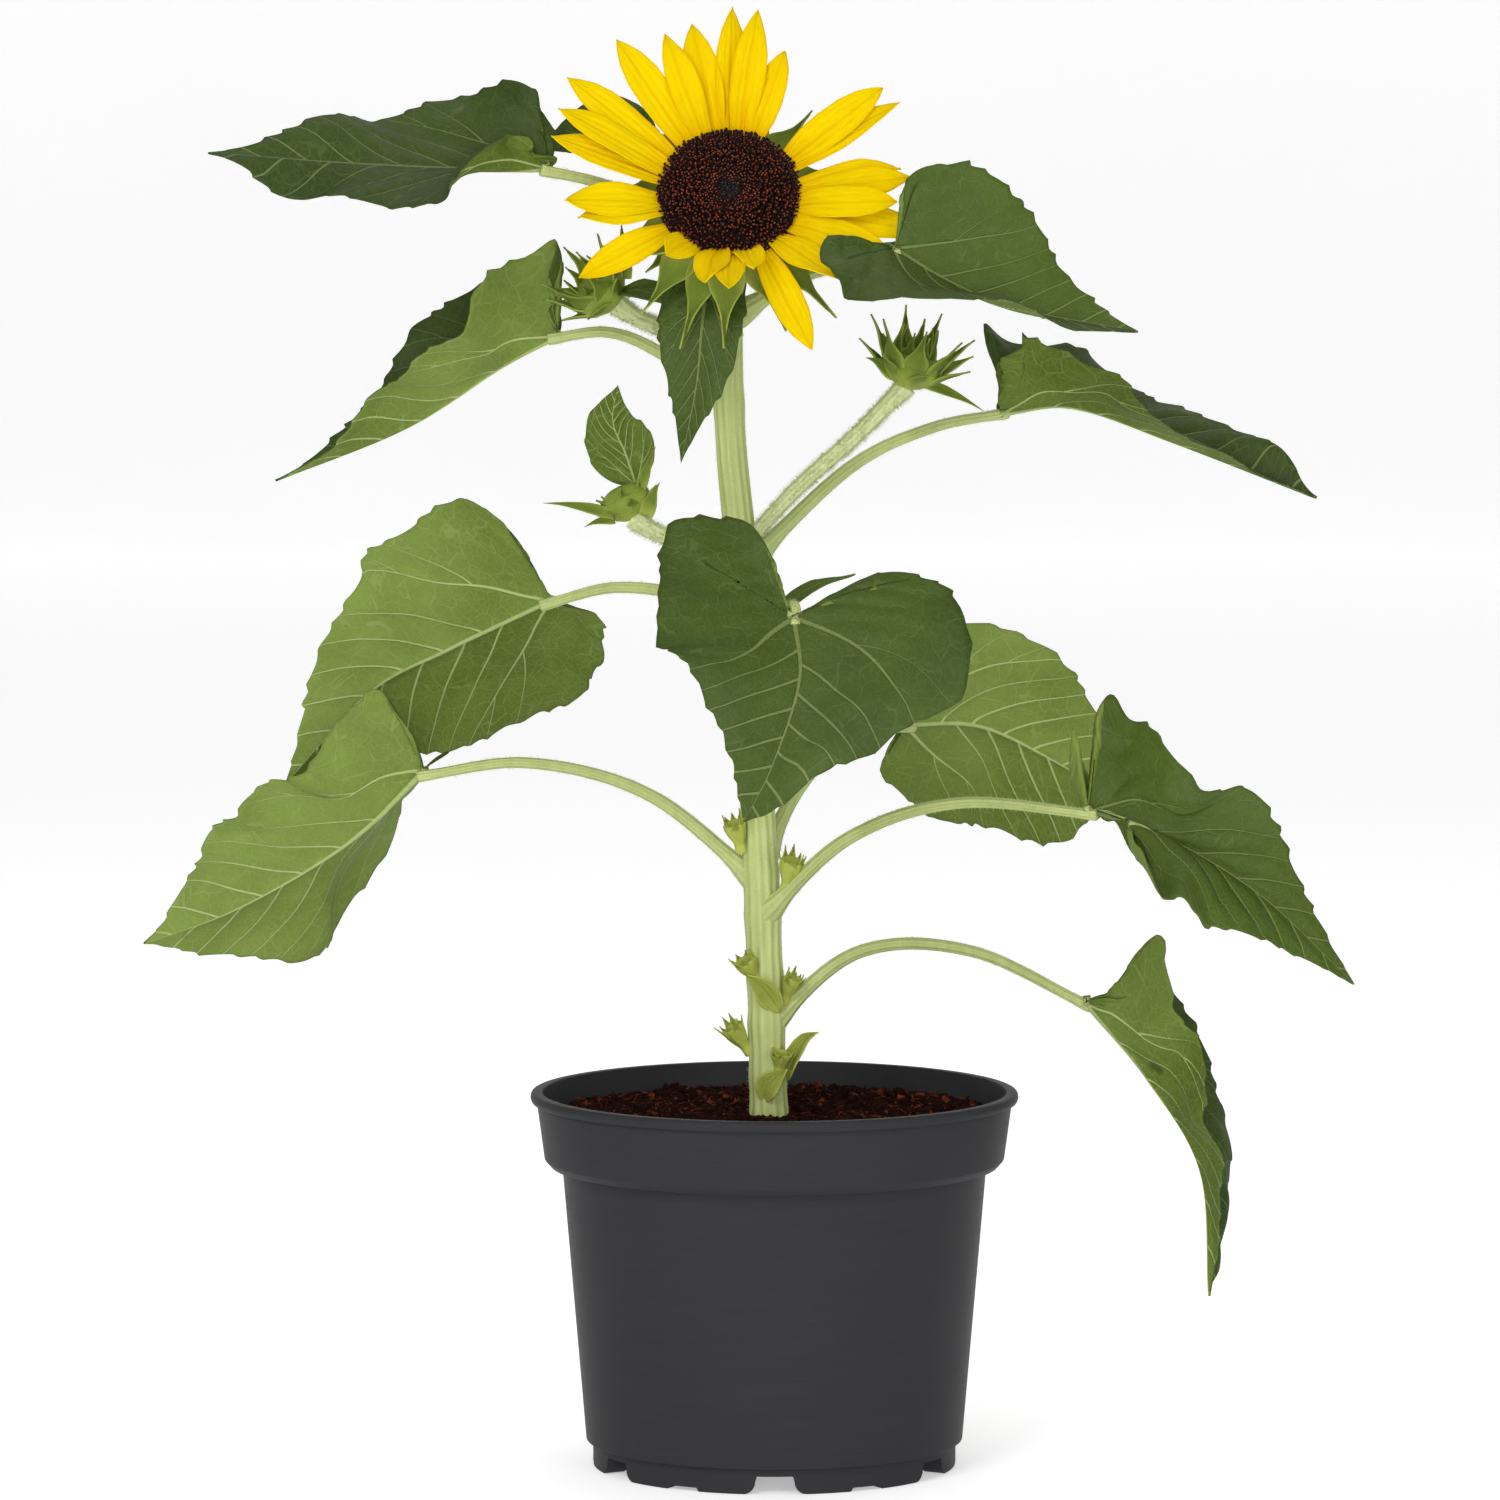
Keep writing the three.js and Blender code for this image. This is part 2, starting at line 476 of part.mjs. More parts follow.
// a green bud: a round cup closed by a crown of pointed bracts
function bud({ cup, length, points, reach, base, aim }) {
  const profile = [
    [0, 0], [cup * 0.35, 0], [cup * 0.85, length * 0.3], [cup, length * 0.6], [cup * 0.75, length * 0.9],
    [0, length],
  ];
  let body = solid(aimed(turned(profile, 10), base, aim));
  const turn = new THREE.Quaternion().setFromUnitVectors(new THREE.Vector3(0, 0, 1), V(aim).normalize());
  for (let i = 0; i < points; i += 1) {
    const azimuth = (i * 360) / points + 8 * jitter();
    const pitch = 62 + 14 * jitter();
    const bractLength = reach * (1 + 0.15 * jitter());
    const bract = ray(azimuth, pitch, bractLength, cup * 0.72, length * 0.45, cup * 0.27, 1);
    bract.rib = bract.rib.map((p) => V(p).applyQuaternion(turn).add(V(base)).toArray());
    bract.up = bract.up.map((p) => V(p).applyQuaternion(turn).toArray());
    body = body.add(blade(bract, BLOOM.bractThick, 2, 1));
  }
  return body;
}

// a small bud: a flared cup with a ragged edge
function axilBud([foot, aim, radius, height], extra) {
  const [r, h] = [radius + extra, height + extra];
  const profile = [[0, -extra], [r * 0.45, -extra], [r, h * 0.7], [r * 0.8, h], [0, h * 0.75]];
  return solid(aimed(turned(profile, 8), foot, aim));
}

// ---------------------------------------------------------------- the plant

add("pot", pot(), POT_BLACK);
add("soil", soil(), SOIL_BROWN);

const stemPath = course(STEM.path);
const stemLimb = (extra) => limb(stemPath, STEM.foot + extra, STEM.top + extra, STEM.sides, STEM.steps);
const belowFoot = new THREE.BoxGeometry(8 * STEM.foot, 8 * STEM.foot, SOIL.level)
  .translate(0, 0, SOIL.level / 2 + GAP);
const stem = stemLimb(0).subtract(solid(belowFoot));
const stemRoom = stemLimb(GAP);
add("stem", stem, STEM_GREEN);

add("bloom_disc", bloomDisc(), DISC_BROWN);
add("bloom_petals", bloomPetals(), PETAL_YELLOW);
add("bloom_calyx", largest(bloomCalyx().subtract(stemRoom)), BUD_GREEN);

const built = [stemRoom];

// takes the room of what is already built out of a solid, and keeps its main piece
function fitted(body) {
  return largest(built.reduce((rest, room) => rest.subtract(room), body));
}

for (const [name, leaf] of Object.entries(LEAVES)) {
  const girth = leaf.girth ?? STALK_GIRTH;
  const rib = course(leaf.rib);
  const seat = bentPlace(leaf, rib, rib.getLength(), SEAT, 0);
  const end = seat.point.addScaledVector(seat.normal, -(girth[1] + LEAF_THICK / 2 + GAP));
  const path = course([...leaf.stalk, end.toArray()]);
  const trim = GAP / path.getLength();
  const shares = leaf.bent ? [0, 0.5, 1 - trim] : [0, 1 - trim];
  for (let i = 1; i < shares.length; i += 1) {
    const from = shares[i - 1] + (i > 1 ? trim : 0);
    const petiole = limb(path, ...girth, STALK_SIDES, STALK_STEPS - (leaf.bent ? 1 : 0), from, shares[i]);
    const suffix = leaf.bent ? ["", "_inner", "_outer"][i] : "";
    add(`petiole_${name}${suffix}`, fitted(petiole), STEM_GREEN);
  }
  const room = limb(path, girth[0] + GAP, girth[1] + GAP, STALK_SIDES, STALK_STEPS);
  const leafBody = blade(leaf, LEAF_THICK, 7, 3);
  add(`leaf_${name}`, largest(leafBody.subtract(room).subtract(stemRoom)), LEAF_GREEN);
  built.push(room);
}
for (const [name, bloom] of Object.entries(BUDS)) {
  const path = course([...bloom.stalk, bloom.base]);
  const [foot, top] = bloom.girth;
  const room = limb(path, foot + GAP, top + GAP, STALK_SIDES, STALK_STEPS);
  const stalk = limb(path, foot, top, STALK_SIDES, STALK_STEPS, 0, 1 - GAP / path.getLength());
  add(`stalk_bud_${name}`, fitted(stalk), STEM_GREEN);
  add(`bud_${name}`, largest(bud(bloom).subtract(room)), BUD_GREEN);
  built.push(room);
}
AXIL_BUDS.forEach((small, i) => {
  add(`bud_axil_${i + 1}`, fitted(axilBud(small, 0)), BUD_GREEN);
  built.push(axilBud(small, GAP));
});
for (const [name, leaf] of Object.entries(NARROW_LEAVES)) {
  const body = blade({ outline: "lance", ...leaf }, NARROW_THICK, 5, 1);
  add(name.startsWith("scale") ? name : `leaf_${name}`, fitted(body), LEAF_GREEN);
}

export default group;
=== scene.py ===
"""A potted sunflower, dressed on its CAD frame.

A black nursery pot of soil, one ribbed stem with long-stalked heart-shaped leaves, an open bloom and
three green buds. Metres, +Z up, front towards -Y; shapes are given in millimetres and brought to
metres by MM. Every piece stands for the CAD nodes that it names.
"""

import math

import bpy
import numpy as np
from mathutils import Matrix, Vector, noise


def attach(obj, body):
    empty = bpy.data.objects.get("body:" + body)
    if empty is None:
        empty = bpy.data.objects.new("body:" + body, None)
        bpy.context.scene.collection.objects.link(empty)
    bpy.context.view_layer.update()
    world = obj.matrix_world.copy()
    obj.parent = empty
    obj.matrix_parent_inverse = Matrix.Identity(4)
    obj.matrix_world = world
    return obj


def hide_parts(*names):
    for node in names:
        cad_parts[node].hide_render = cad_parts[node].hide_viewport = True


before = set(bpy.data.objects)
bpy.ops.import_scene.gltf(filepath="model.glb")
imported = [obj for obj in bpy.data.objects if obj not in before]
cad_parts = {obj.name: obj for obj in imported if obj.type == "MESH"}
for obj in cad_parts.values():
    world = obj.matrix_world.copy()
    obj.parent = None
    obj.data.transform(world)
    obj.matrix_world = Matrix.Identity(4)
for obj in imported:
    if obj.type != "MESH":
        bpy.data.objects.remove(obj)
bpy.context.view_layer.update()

bl_info = {
    "name": "Potted sunflower",
    "version": (1, 0, 0),
    "blender": (4, 5, 0),
    "location": "3D View > Sidebar > Sunflower",
    "description": "Dresses the CAD frame of a potted sunflower with leaves, bloom, buds, pot and soil",
    "category": "Object",
}

MM = 0.001
QUARTER, TURN = math.pi / 2, 2 * math.pi

# ---------------------------------------------------------------- shapes of the plant

STEM_COURSE = [
    (-2, 0, 133), (-4, 2, 200), (-6, 5, 245), (-10.5, 9, 330), (-17, 10, 400), (-18, 8, 450),
    (-17, 2, 473), (-18, -8, 483.5), (-18, -18, 489),
]
STEM_RADII = (7.2, 5.4)

BLOOM_CENTRE = (-17.5, -33, 495)
BLOOM_TILT = 29
DISC_RADIUS = 27.5
DISC_DOME = 6.5
DISC_BACK = 1.5
RAY_ROOT = 22

# each ray petal: direction round the disc and pitch out of its plane in degrees, and length
PETALS = [
    (89, 20, 54), (81, 24, 53), (69, 20, 40), (33, 20, 51), (27, 16, 53), (5, 15, 45),
    (0, 19, 50), (-10, 22, 46), (-15, 9, 56), (-27, 15, 49), (-47, 24, 41), (-62, -15, 47),
    (-76, 42, 24), (-90, 42, 44), (-100, 40, 37), (-125, 42, 26), (-147, 5, 46),
    (-168, 9, 37), (-174, 14, 42), (163, 12, 50), (156, 19, 52), (145, 17, 56), (126, 18, 54),
    (112, 22, 47), (102, 18, 49),
]
# each bract under the petals: direction, pitch and length, as for the petals
BRACTS = [
    (76, 6, 34), (52, -4, 30), (122, 0, 37), (148, -6, 30), (170, -8, 28), (20, -8, 28), (-4, -10, 28),
    (-28, -10, 28), (-48, -12, 40), (-66, -22, 34), (-92, -10, 38), (-108, -16, 40), (-128, -18, 34),
    (-152, -8, 32), (98, -2, 30),
]

# A leaf: rib = the midrib's course from stalk to tip; up = directions its upper face looks in; half =
# half-widths left and right of the rib; fold = degrees each half is folded up at 0, 20, 50 and 100 %
# of the rib; lobe = how far each half reaches back past the stalk; base = how full each half is beside
# the stalk; outline = one of OUTLINES; stalk = the petiole's course up to the leaf; girth = the petiole's
# radius at the stem and at the leaf; quilt = how far the blade bulges between its veins; tone = 0 for dark
# to 1 for light, for each half, partly the leaf's own tone and partly painted shade and painted light on
# that half; pulls = places where the margin is drawn aside: half (0 left, 1 right),
# share of the margin, width of the pull, and millimetres along X, Y and Z.
LEAVES = {
    "top_left": dict(
        rib=[(-87, -14, 505), (-124, -22, 505), (-166, -30, 507), (-216, -34, 511)],
        up=[(0, -0.52, 0.85)], half=(36, 36), fold=((100, 15, -2, 0), (55, 22, 5, 5)), lobe=(0.15, 0.15),
        base=(0.4, 1), stalk=[(-16, 4, 468), (-36, -4, 487), (-67, -10, 499)], tone=(0.05, 0.15),
        pulls=[
            (0, 0.3, 0.05, (-9, 0, -2)), (0, 0.4, 0.05, (-12, 0, 3)), (0, 0.5, 0.05, (-14, 0, 6)),
            (0, 0.8, 0.07, (0, 0, -8)), (1, 0.3, 0.06, (-5, 0, -2)), (1, 0.4, 0.05, (-4, 0, 0)),
            (1, 0.75, 0.08, (0, 0, 7)),
        ],
    ),
    "small_behind_bloom": dict(
        rib=[(-46, 13, 519), (-64, 14, 520), (-79, 17, 516), (-94, 20, 512)], up=[(0, -0.7, 0.7)],
        half=(14, 14), fold=((20, 20, 20, 20), (20, 20, 20, 20)), lobe=(0.4, 0.4), outline="lance",
        stalk=[(-17, 4, 472), (-26, 14, 495), (-36, 14, 511)],
    ),
    "upper_left": dict(
        rib=[(-85, 18, 440), (-107, 24, 428), (-144, 30, 404), (-195, 30, 383)], up=[(0, 0, 1)],
        half=(36, 36), fold=((82, 38, 28, 25), (66, 70, 72, 40)), lobe=(0.4, 0.3),
        stalk=[(-15, 10, 413), (-42, 12, 432), (-64, 15, 441)], tone=(0.75, 0.1),
        pulls=[
            (0, 0.1, 0.05, (-5, 0, 4)), (0, 0.2, 0.05, (-4, 0, 6)), (0, 0.3, 0.045, (6, 0, 13)),
            (0, 0.4, 0.04, (-3, 0, 0)), (0, 0.5, 0.04, (2, 0, -4)), (0, 0.7, 0.08, (-1, 0, 9)),
            (1, 0.2, 0.06, (-5, 0, 3)), (1, 0.35, 0.05, (-4, 0, 5)), (1, 0.6, 0.06, (0, 0, 6)),
        ],
    ),
    "small_front": dict(
        rib=[(-26, -30, 460), (-28, -38, 443), (-30, -38, 422), (-36, -30, 392)],
        up=[(0, -1, 0.4), (0, -1, 0)], half=(16, 17), fold=((15, 15, 20, 40), (-14, -12, -4, 10)),
        lobe=(0.6, 0.6), stalk=[(-16, 5, 440), (-19, -12, 456), (-23, -24, 461)], girth=(2, 1.5),
    ),
    "top_right": dict(
        rib=[(45, -57, 475), (67, -64, 462), (93, -68, 452), (137, -68, 444)], up=[(0, -0.6, 0.8)],
        half=(44, 42), fold=((38, 36, 34, 10), (4, 30, 34, 25)), lobe=(0.2, 1.1),
        stalk=[(-15, 7, 448), (8, -6, 462), (24, -38, 468), (36, -54, 471)], tone=(0.8, 0.35),
        pulls=[
            (0, 0.25, 0.07, (-5, 0, 5)), (0, 0.65, 0.08, (3, 0, 0)), (1, 0.2, 0.05, (0, 0, 4)),
            (1, 0.35, 0.06, (4, 0, 1)), (1, 0.5, 0.05, (0, 0, -3)), (1, 0.65, 0.09, (-1, 0, 7)),
        ],
    ),
    "upper_right": dict(
        rib=[(89, 46, 409), (118, 56, 411), (160, 66, 396), (215, 70, 374)], up=[(0, 0, 1)],
        half=(36, 34), fold=((60, 42, 28, 58), (84, 58, 12, 0)), lobe=(0.12, 0.12), base=(0.7, 1),
        stalk=[(-10, 10, 352), (29, 20, 388), (61, 34, 403)], tone=(0.1, 0.2),
        pulls=[
            (0, 0.2, 0.06, (8, 0, 0)), (0, 0.3, 0.05, (6, 0, 6)), (0, 0.4, 0.04, (-3, 0, 16)),
            (0, 0.5, 0.05, (9, 0, 2)), (0, 0.6, 0.04, (7, 0, -4)), (0, 0.7, 0.05, (0, 0, 4)),
            (0, 0.85, 0.08, (1, 0, 11)), (1, 0.2, 0.06, (6, 0, 2)), (1, 0.35, 0.06, (12, 0, 1)),
            (1, 0.5, 0.05, (0, 0, -10)), (1, 0.6, 0.05, (-6, 0, -5)),
        ],
    ),
    "middle_left": dict(
        rib=[(-89, 60, 334), (-129, 75, 314), (-161, 82, 296), (-195, 85, 259)],
        up=[(0, 0.8, 0.6), (0, 0.9, 0.4)], half=(51, 54), fold=((10, 12, 12, 12), (8, 10, 8, 10)),
        lobe=(0.15, 0.45), stalk=[(-9, 9, 312), (-29, 25, 335), (-61, 45, 340)], tone=(0.85, 0.3),
        pulls=[
            (0, 0.45, 0.07, (1, 0, 6)), (0, 0.6, 0.04, (-5, 0, 5)), (1, 0.3, 0.07, (-7, 0, 2)),
            (1, 0.4, 0.05, (-7, 0, -1)), (1, 0.7, 0.08, (3, 0, -8)),
        ],
    ),
    "lower_left": dict(
        rib=[(-138, 55, 267), (-169, 75, 237), (-213, 85, 210), (-252, 85, 195)],
        up=[(0.25, 0.75, 0.3), (-0.2, 0.7, 0.6), (-0.2, 0.7, 0.6)], half=(39, 50),
        fold=((0, 32, 10, 10), (85, 72, -4, -5)), lobe=(0.3, 0.2), base=(1, 0.5), outline="broad",
        stalk=[(-6, 4, 228), (-49, 25, 260), (-96, 42, 271)], tone=(0.95, 0.6),
        pulls=[
            (0, 0.3, 0.06, (0, 0, 8)), (0, 0.5, 0.05, (-6, 0, -13)), (0, 0.6, 0.05, (-6, 0, 0)),
            (0, 0.7, 0.06, (-6, 0, 6)), (0, 0.8, 0.06, (-1, 0, 6)), (1, 0.5, 0.05, (-7, 0, -7)),
            (1, 0.6, 0.06, (-18, 0, -3)), (1, 0.7, 0.05, (-1, 0, -5)),
        ],
    ),
    "centre_front": dict(
        rib=[(7, -88, 337), (9, -100, 314), (-1, -106, 283), (-12, -104, 261)],
        up=[(0, -0.9, 0.4), (0, -1, 0.1)], half=(66, 56), fold=((8, 8, 10, 12), (4, 10, 14, 12)),
        lobe=(1.1, 2.8), stalk=[(-7, 5, 285), (-1, -25, 318), (4, -58, 336), (7, -81, 341)],
        pulls=[
            (0, 0.15, 0.08, (-1, 0, -6)), (0, 0.3, 0.06, (0, 0, -3)), (0, 0.45, 0.06, (-4, 0, -1)),
            (0, 0.66, 0.08, (0, 0, 13)), (0, 0.8, 0.06, (0, 0, 6)), (1, 0.13, 0.05, (2, 0, 7)),
            (1, 0.28, 0.06, (-6, 0, 4)), (1, 0.4, 0.05, (2, 0, 7)), (1, 0.5, 0.05, (6, 0, 4)),
            (1, 0.62, 0.07, (5, 0, 1)), (1, 0.75, 0.07, (4, 0, 0)), (0, 0.77, 0.04, (0, 0, 4)),
        ],
    ),
    "middle_right": dict(
        rib=[(52, 75, 284), (82, 90, 282), (111, 98, 268), (140, 98, 250)],
        up=[(0.1, 0.9, 0.4), (0.1, 0.9, 0.3)], half=(52, 42), fold=((8, 8, 5, 5), (10, 10, 10, 10)),
        lobe=(0.1, 1), base=(0.62, 1), outline="broad",
        stalk=[(-5, 6, 236), (10, 25, 263), (30, 50, 281)], tone=(0.45, 0.95),
        pulls=[
            (0, 0.6, 0.07, (9, 0, -1)), (0, 0.78, 0.08, (6, 0, -9)), (0, 0.92, 0.05, (-2, 0, -4)),
        ],
    ),
    "lower_right": dict(
        rib=[(120, -45, 260), (147, -58, 252), (184, -64, 230), (221, -60, 195)], up=[(0.2, -0.7, 0.6)],
        half=(40, 40), fold=((25, 50, 42, 10), (150, 95, 12, 12)), lobe=(0.1, 0.6), base=(1, 0.75),
        stalk=[(-5, 2, 214), (29, -15, 247), (71, -32, 262)], quilt=1.8, tone=(0.7, 0.8),
        pulls=[
            (0, 0.3, 0.07, (-3, 0, 17)), (0, 0.5, 0.04, (-1, 0, -8)), (0, 0.55, 0.04, (-4, 0, -12)),
            (0, 0.75, 0.1, (-5, 0, 1)), (1, 0.2, 0.05, (0, -12, 18)), (1, 0.34, 0.05, (3, -8, -18)),
            (1, 0.46, 0.08, (0, -4, -36)), (1, 0.545, 0.05, (-4, 0, -21)), (1, 0.62, 0.04, (0, 0, -4)),
        ],
    ),
    "bottom_right": dict(
        rib=[(123, 30, 178), (148, 36, 147), (169, 36, 110), (172, 30, 61)],
        up=[(0.6, 0, 0.7), (0.85, 0, 0.5), (0.7, 0.7, 0.2)], half=(33, 34),
        fold=((75, 66, 50, 15), (88, 60, 30, 5)), lobe=(0.12, 0.12),
        stalk=[(-3, 1, 172), (33, 8, 200), (77, 20, 199)], tone=(0.1, 0.3),
        pulls=[
            (1, 0.18, 0.07, (9, 0, -6)), (1, 0.3, 0.05, (8, 0, -9)), (1, 0.4, 0.035, (2, 0, 11)),
            (1, 0.5, 0.04, (-6, 0, 2)), (1, 0.58, 0.04, (-1, 0, 9)), (1, 0.66, 0.03, (-5, 0, 0)),
            (1, 0.78, 0.05, (-3, 0, 0)), (0, 0.18, 0.08, (9, 0, -9)), (0, 0.32, 0.07, (9, 0, -11)),
            (0, 0.7, 0.04, (3, 0, 0)), (0, 0.8, 0.06, (8, 0, 0)), (0, 0.9, 0.05, (5, 0, 0)),
        ],
    ),
    "back": dict(
        rib=[(14, 84, 318), (18, 102, 312), (20, 113, 296), (18, 114, 272)],
        up=[(0.1, 0.5, 0.85), (0, 1, 0.2)], half=(38, 38), fold=((14, 14, 12, 10), (14, 14, 12, 10)),
        lobe=(1, 1), stalk=[(-9, 9, 276), (0, 32, 300), (8, 58, 314)],
    ),
    "bud_left": dict(
        rib=[(-60, -8, 457), (-52, -18, 458), (-43, -25, 456), (-33, -30, 451)], up=[(0, -0.7, 0.7)],
        half=(6, 6), fold=((25, 20, 15, 15), (25, 20, 15, 15)), lobe=(0.2, 0.2), outline="lance",
        tone=(1.4, 1.4),
    ),
    "bud_middle": dict(
        rib=[(-54, 30.4, 381), (-58, 30, 393), (-63, 28, 406), (-61, 28, 420)], up=[(0, 1, 0.1)],
        half=(12, 14), tone=(0.2, 0.2), fold=((12, 12, 12, 12), (8, 8, 8, 8)), lobe=(0.2, 0.2),
        outline="lance",
    ),
    "axil_front": dict(
        rib=[(-9, 6, 314), (-1, -6, 330), (13, -12, 343), (31, -14, 349)], up=[(-0.3, -0.5, 0.8)],
        half=(5, 5), fold=((30, 20, 15, 10), (30, 20, 15, 10)), lobe=(0, 0), outline="lance", tone=(1, 1),
    ),
}
SPLIT_STALKS = ("lower_left", "lower_right", "bottom_right")
STALK_GIRTH = (3, 2.1)

# scales low on the stem: the midrib's course and the way the upper face looks
SCALE_HALF = 5
SCALES = {
    "scale_low_right": ([(5, -2, 151), (8, -4, 160), (12, -5, 167), (17, -6, 170)], (-0.7, -0.6, 0.3)),
    "scale_low_front": ([(-4, -6, 143), (-3, -8.5, 148), (0, -9.5, 152), (5, -9.5, 156)], (-0.3, -0.9, 0)),
    "scale_mid_left": (
        [(2, -4.5, 178), (-2, -7, 184), (-5, -8.5, 188), (-11, -9.5, 193)], (-0.2, -0.9, 0.2),
    ),
}
# A bud: base = where its cup meets the stalk; aim = the way it faces; cup and length = radius and height
# of the cup; points = bracts in a row; reach = their length; girth = the stalk's radius at stem and cup;
# beside = single bracts that stand off from the cup: foot, tip, half-width.
BUDS = {
    "left": dict(
        base=(-62, -2, 453), aim=(-0.75, -0.35, 0.6), cup=12, length=13, points=7, reach=20,
        stalk=[(-15, 8, 424), (-38, 5, 440), (-53, 0, 447)], girth=(3.2, 3.4),
        beside=[((-58, -6, 462), (-59, -8, 484), 3.4)],
    ),
    "right": dict(
        base=(51, -2, 421), aim=(0.25, -0.2, 0.9), cup=12, length=13, points=7, reach=23,
        stalk=[(-11, 7, 359), (8, 5, 380), (30, 1, 400)], girth=(2.8, 3.4),
        beside=[((57, -3, 422), (81, -4, 411), 2.2), ((46, -6, 425), (35, -9, 432), 3.2)],
    ),
    "middle": dict(
        base=(-55, 19, 369), aim=(-0.45, 0.0, 0.9), cup=10.5, length=12, points=6, reach=9,
        stalk=[(-10, 9, 341), (-28, 14, 356), (-46, 18, 363)], girth=(2.8, 3.6),
        beside=[
            ((-62, 12, 370), (-90, 8, 375), 2.4), ((-62, 12, 368), (-74, 8, 365.5), 1.8),
            ((-52, 14, 380), (-46, 10, 397), 2.2), ((-50, 14, 370), (-44.5, 10, 383), 3.2),
        ],
    ),
}
# small buds in the leaf axils: foot, direction, radius, height
AXIL_BUDS = [
    ((-13, 1, 241), (-0.25, -0.3, 0.9), 4.2, 13), ((4.5, -3, 226), (0.2, -0.3, 0.9), 4.6, 14),
    ((-8, -4.5, 191), (-0.4, -0.3, 0.8), 4.4, 10), ((4, -1, 182), (0.35, -0.3, 0.9), 3.6, 12),
    ((-10, 0, 162), (-0.55, -0.2, 0.8), 4.2, 14), ((2, -6, 155), (0.1, -0.25, 0.9), 4, 9),
]

# half outlines from stalk to tip: share of the rib's length, share of the half-width
OUTLINES = {
    "heart": [
        (0, 0), (-0.07, 0.12), (-0.16, 0.32), (-0.17, 0.58), (-0.09, 0.82), (0.05, 0.97), (0.2, 1),
        (0.36, 0.9), (0.52, 0.7), (0.68, 0.45), (0.83, 0.21), (0.93, 0.08), (1, 0),
    ],
    "broad": [
        (0, 0), (-0.07, 0.12), (-0.16, 0.34), (-0.17, 0.6), (-0.09, 0.84), (0.06, 0.97), (0.22, 1),
        (0.4, 0.95), (0.56, 0.82), (0.71, 0.6), (0.85, 0.33), (0.94, 0.12), (1, 0),
    ],
    "lance": [
        (0, 0), (0, 0.1), (0.03, 0.35), (0.1, 0.65), (0.22, 0.9), (0.36, 1), (0.52, 0.92),
        (0.68, 0.68), (0.82, 0.38), (0.93, 0.13), (1, 0),
    ],
}
# half-width of a strap-shaped blade along its length
STRAPS = {
    "petal": [
        (0, 0.42), (0.14, 0.6), (0.32, 0.88), (0.5, 1), (0.68, 0.93), (0.83, 0.66), (0.93, 0.33), (1, 0),
    ],
    "awned": [
        (0, 0.7), (0.12, 0.95), (0.28, 1), (0.4, 0.8), (0.52, 0.45), (0.65, 0.2), (0.82, 0.09), (1, 0),
    ],
    "bract": [(0, 0.85), (0.15, 1), (0.35, 0.93), (0.55, 0.62), (0.75, 0.27), (0.9, 0.1), (1, 0)],
    "leaf": [
        (0, 0.18), (0.12, 0.6), (0.3, 0.95), (0.45, 1), (0.62, 0.8), (0.8, 0.45), (0.93, 0.15), (1, 0),
    ],
}
FOLD_AT = (0, 0.2, 0.5, 1)
FAN = 0.3  # share of the margin whose veins all spring from the stalk
VEIN_BOW = 0.12  # how far a vein bows towards the stalk, as a share of its own length
VEIN_SPREAD = 1.25  # above 1, the veins' feet crowd towards the stalk
FULL_AT = 0.35  # share of the rib where a half has its whole width
SMOOTHING = 0.04  # share of the rib over which its direction is taken
CREASE = 0.003  # metres beside the rib over which a fold is rounded

# a leaf this long has teeth, ripples and a midrib of full size
FULL_LEAF = 0.1
TEETH_FROM = 0.82  # share of the way out where the teeth begin
RIPPLE = 0.0011
RIPPLE_PITCH = 0.0062
MIDRIB_REACH = 0.0014

CRUMBS, FIBRES, FLORETS, CUP_HAIRS = 6200, 900, 1500, 700
GOLDEN_ANGLE = 137.508
STEM_HAIRS, STALK_HAIRS, BUD_HAIRS = 12000, 5200, 42000  # in each metre
HAIR_SPREAD = 0.35
SOIL_REACH = (0.009, 0.0875)  # where crumbs and fibres lie, from the stem to the wall
STALK_FLARE = 1.0  # how much wider a stalk is where it clasps the stem
STALK_CHANNEL = 0.16

PALE_BRACT = 0.55  # how far the scales and axil buds lean to the bracts' paler colour

# colours that belong to one finish, as linear values
POT_SCUFF = (0.036, 0.036, 0.04)
HEART_SPECK = (0.042, 0.037, 0.04)

# area lights: name, place, size and power
LIGHTS = (
    ("key", (-1.0, -2.1, 1.7), 1.1, 28), ("fill", (1.2, -2.3, 0.9), 1.2, 13),
    ("top", (0.2, 0.6, 2.4), 1.6, 14), ("front", (-0.1, -2.7, 0.45), 0.8, 20),
)
LIGHT_AIM = (0, 0, 0.3)
WORLD_STRENGTH = 0.4
FLOOR_GLOW = 0.4
CAMERA_PLACE, CAMERA_AIM = (-0.0095, -3.0, 0.534), (-0.0095, 0, 0.2795)
CAMERA_LENS, CAMERA_SENSOR = 186.3, 36

# Veins of a leaf, in shares of its rib's length. Each leaves the rib at a slope that grows outwards:
# one strong basal vein from the stalk, branches on its outer side, and side veins further along.
VEIN_SLOPE = 1.05
VEIN_CURVE = 1.2
VEIN_FIRST = 0.22
VEIN_PITCH = 0.14
BRANCH_PITCH = 0.105
BRANCH_LEAN = 1.0
VEIN_SPAN = 2.4  # half-widths that count as one length across the rib

SIDEWAYS = np.array((0.17, 0.98, 0.1))  # a direction that no limb runs along


# ---------------------------------------------------------------- sizes and colours to change

def length_prop(name, value, text):
    return bpy.props.FloatProperty(
        name=name, description=text, default=value, min=0, soft_max=0.05, subtype="DISTANCE", unit="LENGTH",
        precision=5,
    )


def colour_prop(name, value, text):
    linear = [((c / 255 + 0.055) / 1.055) ** 2.4 if c > 10 else c / 3294.6 for c in value]
    return bpy.props.FloatVectorProperty(
        name=name, description=text, default=linear, min=0, max=1, size=3, subtype="COLOR",
    )


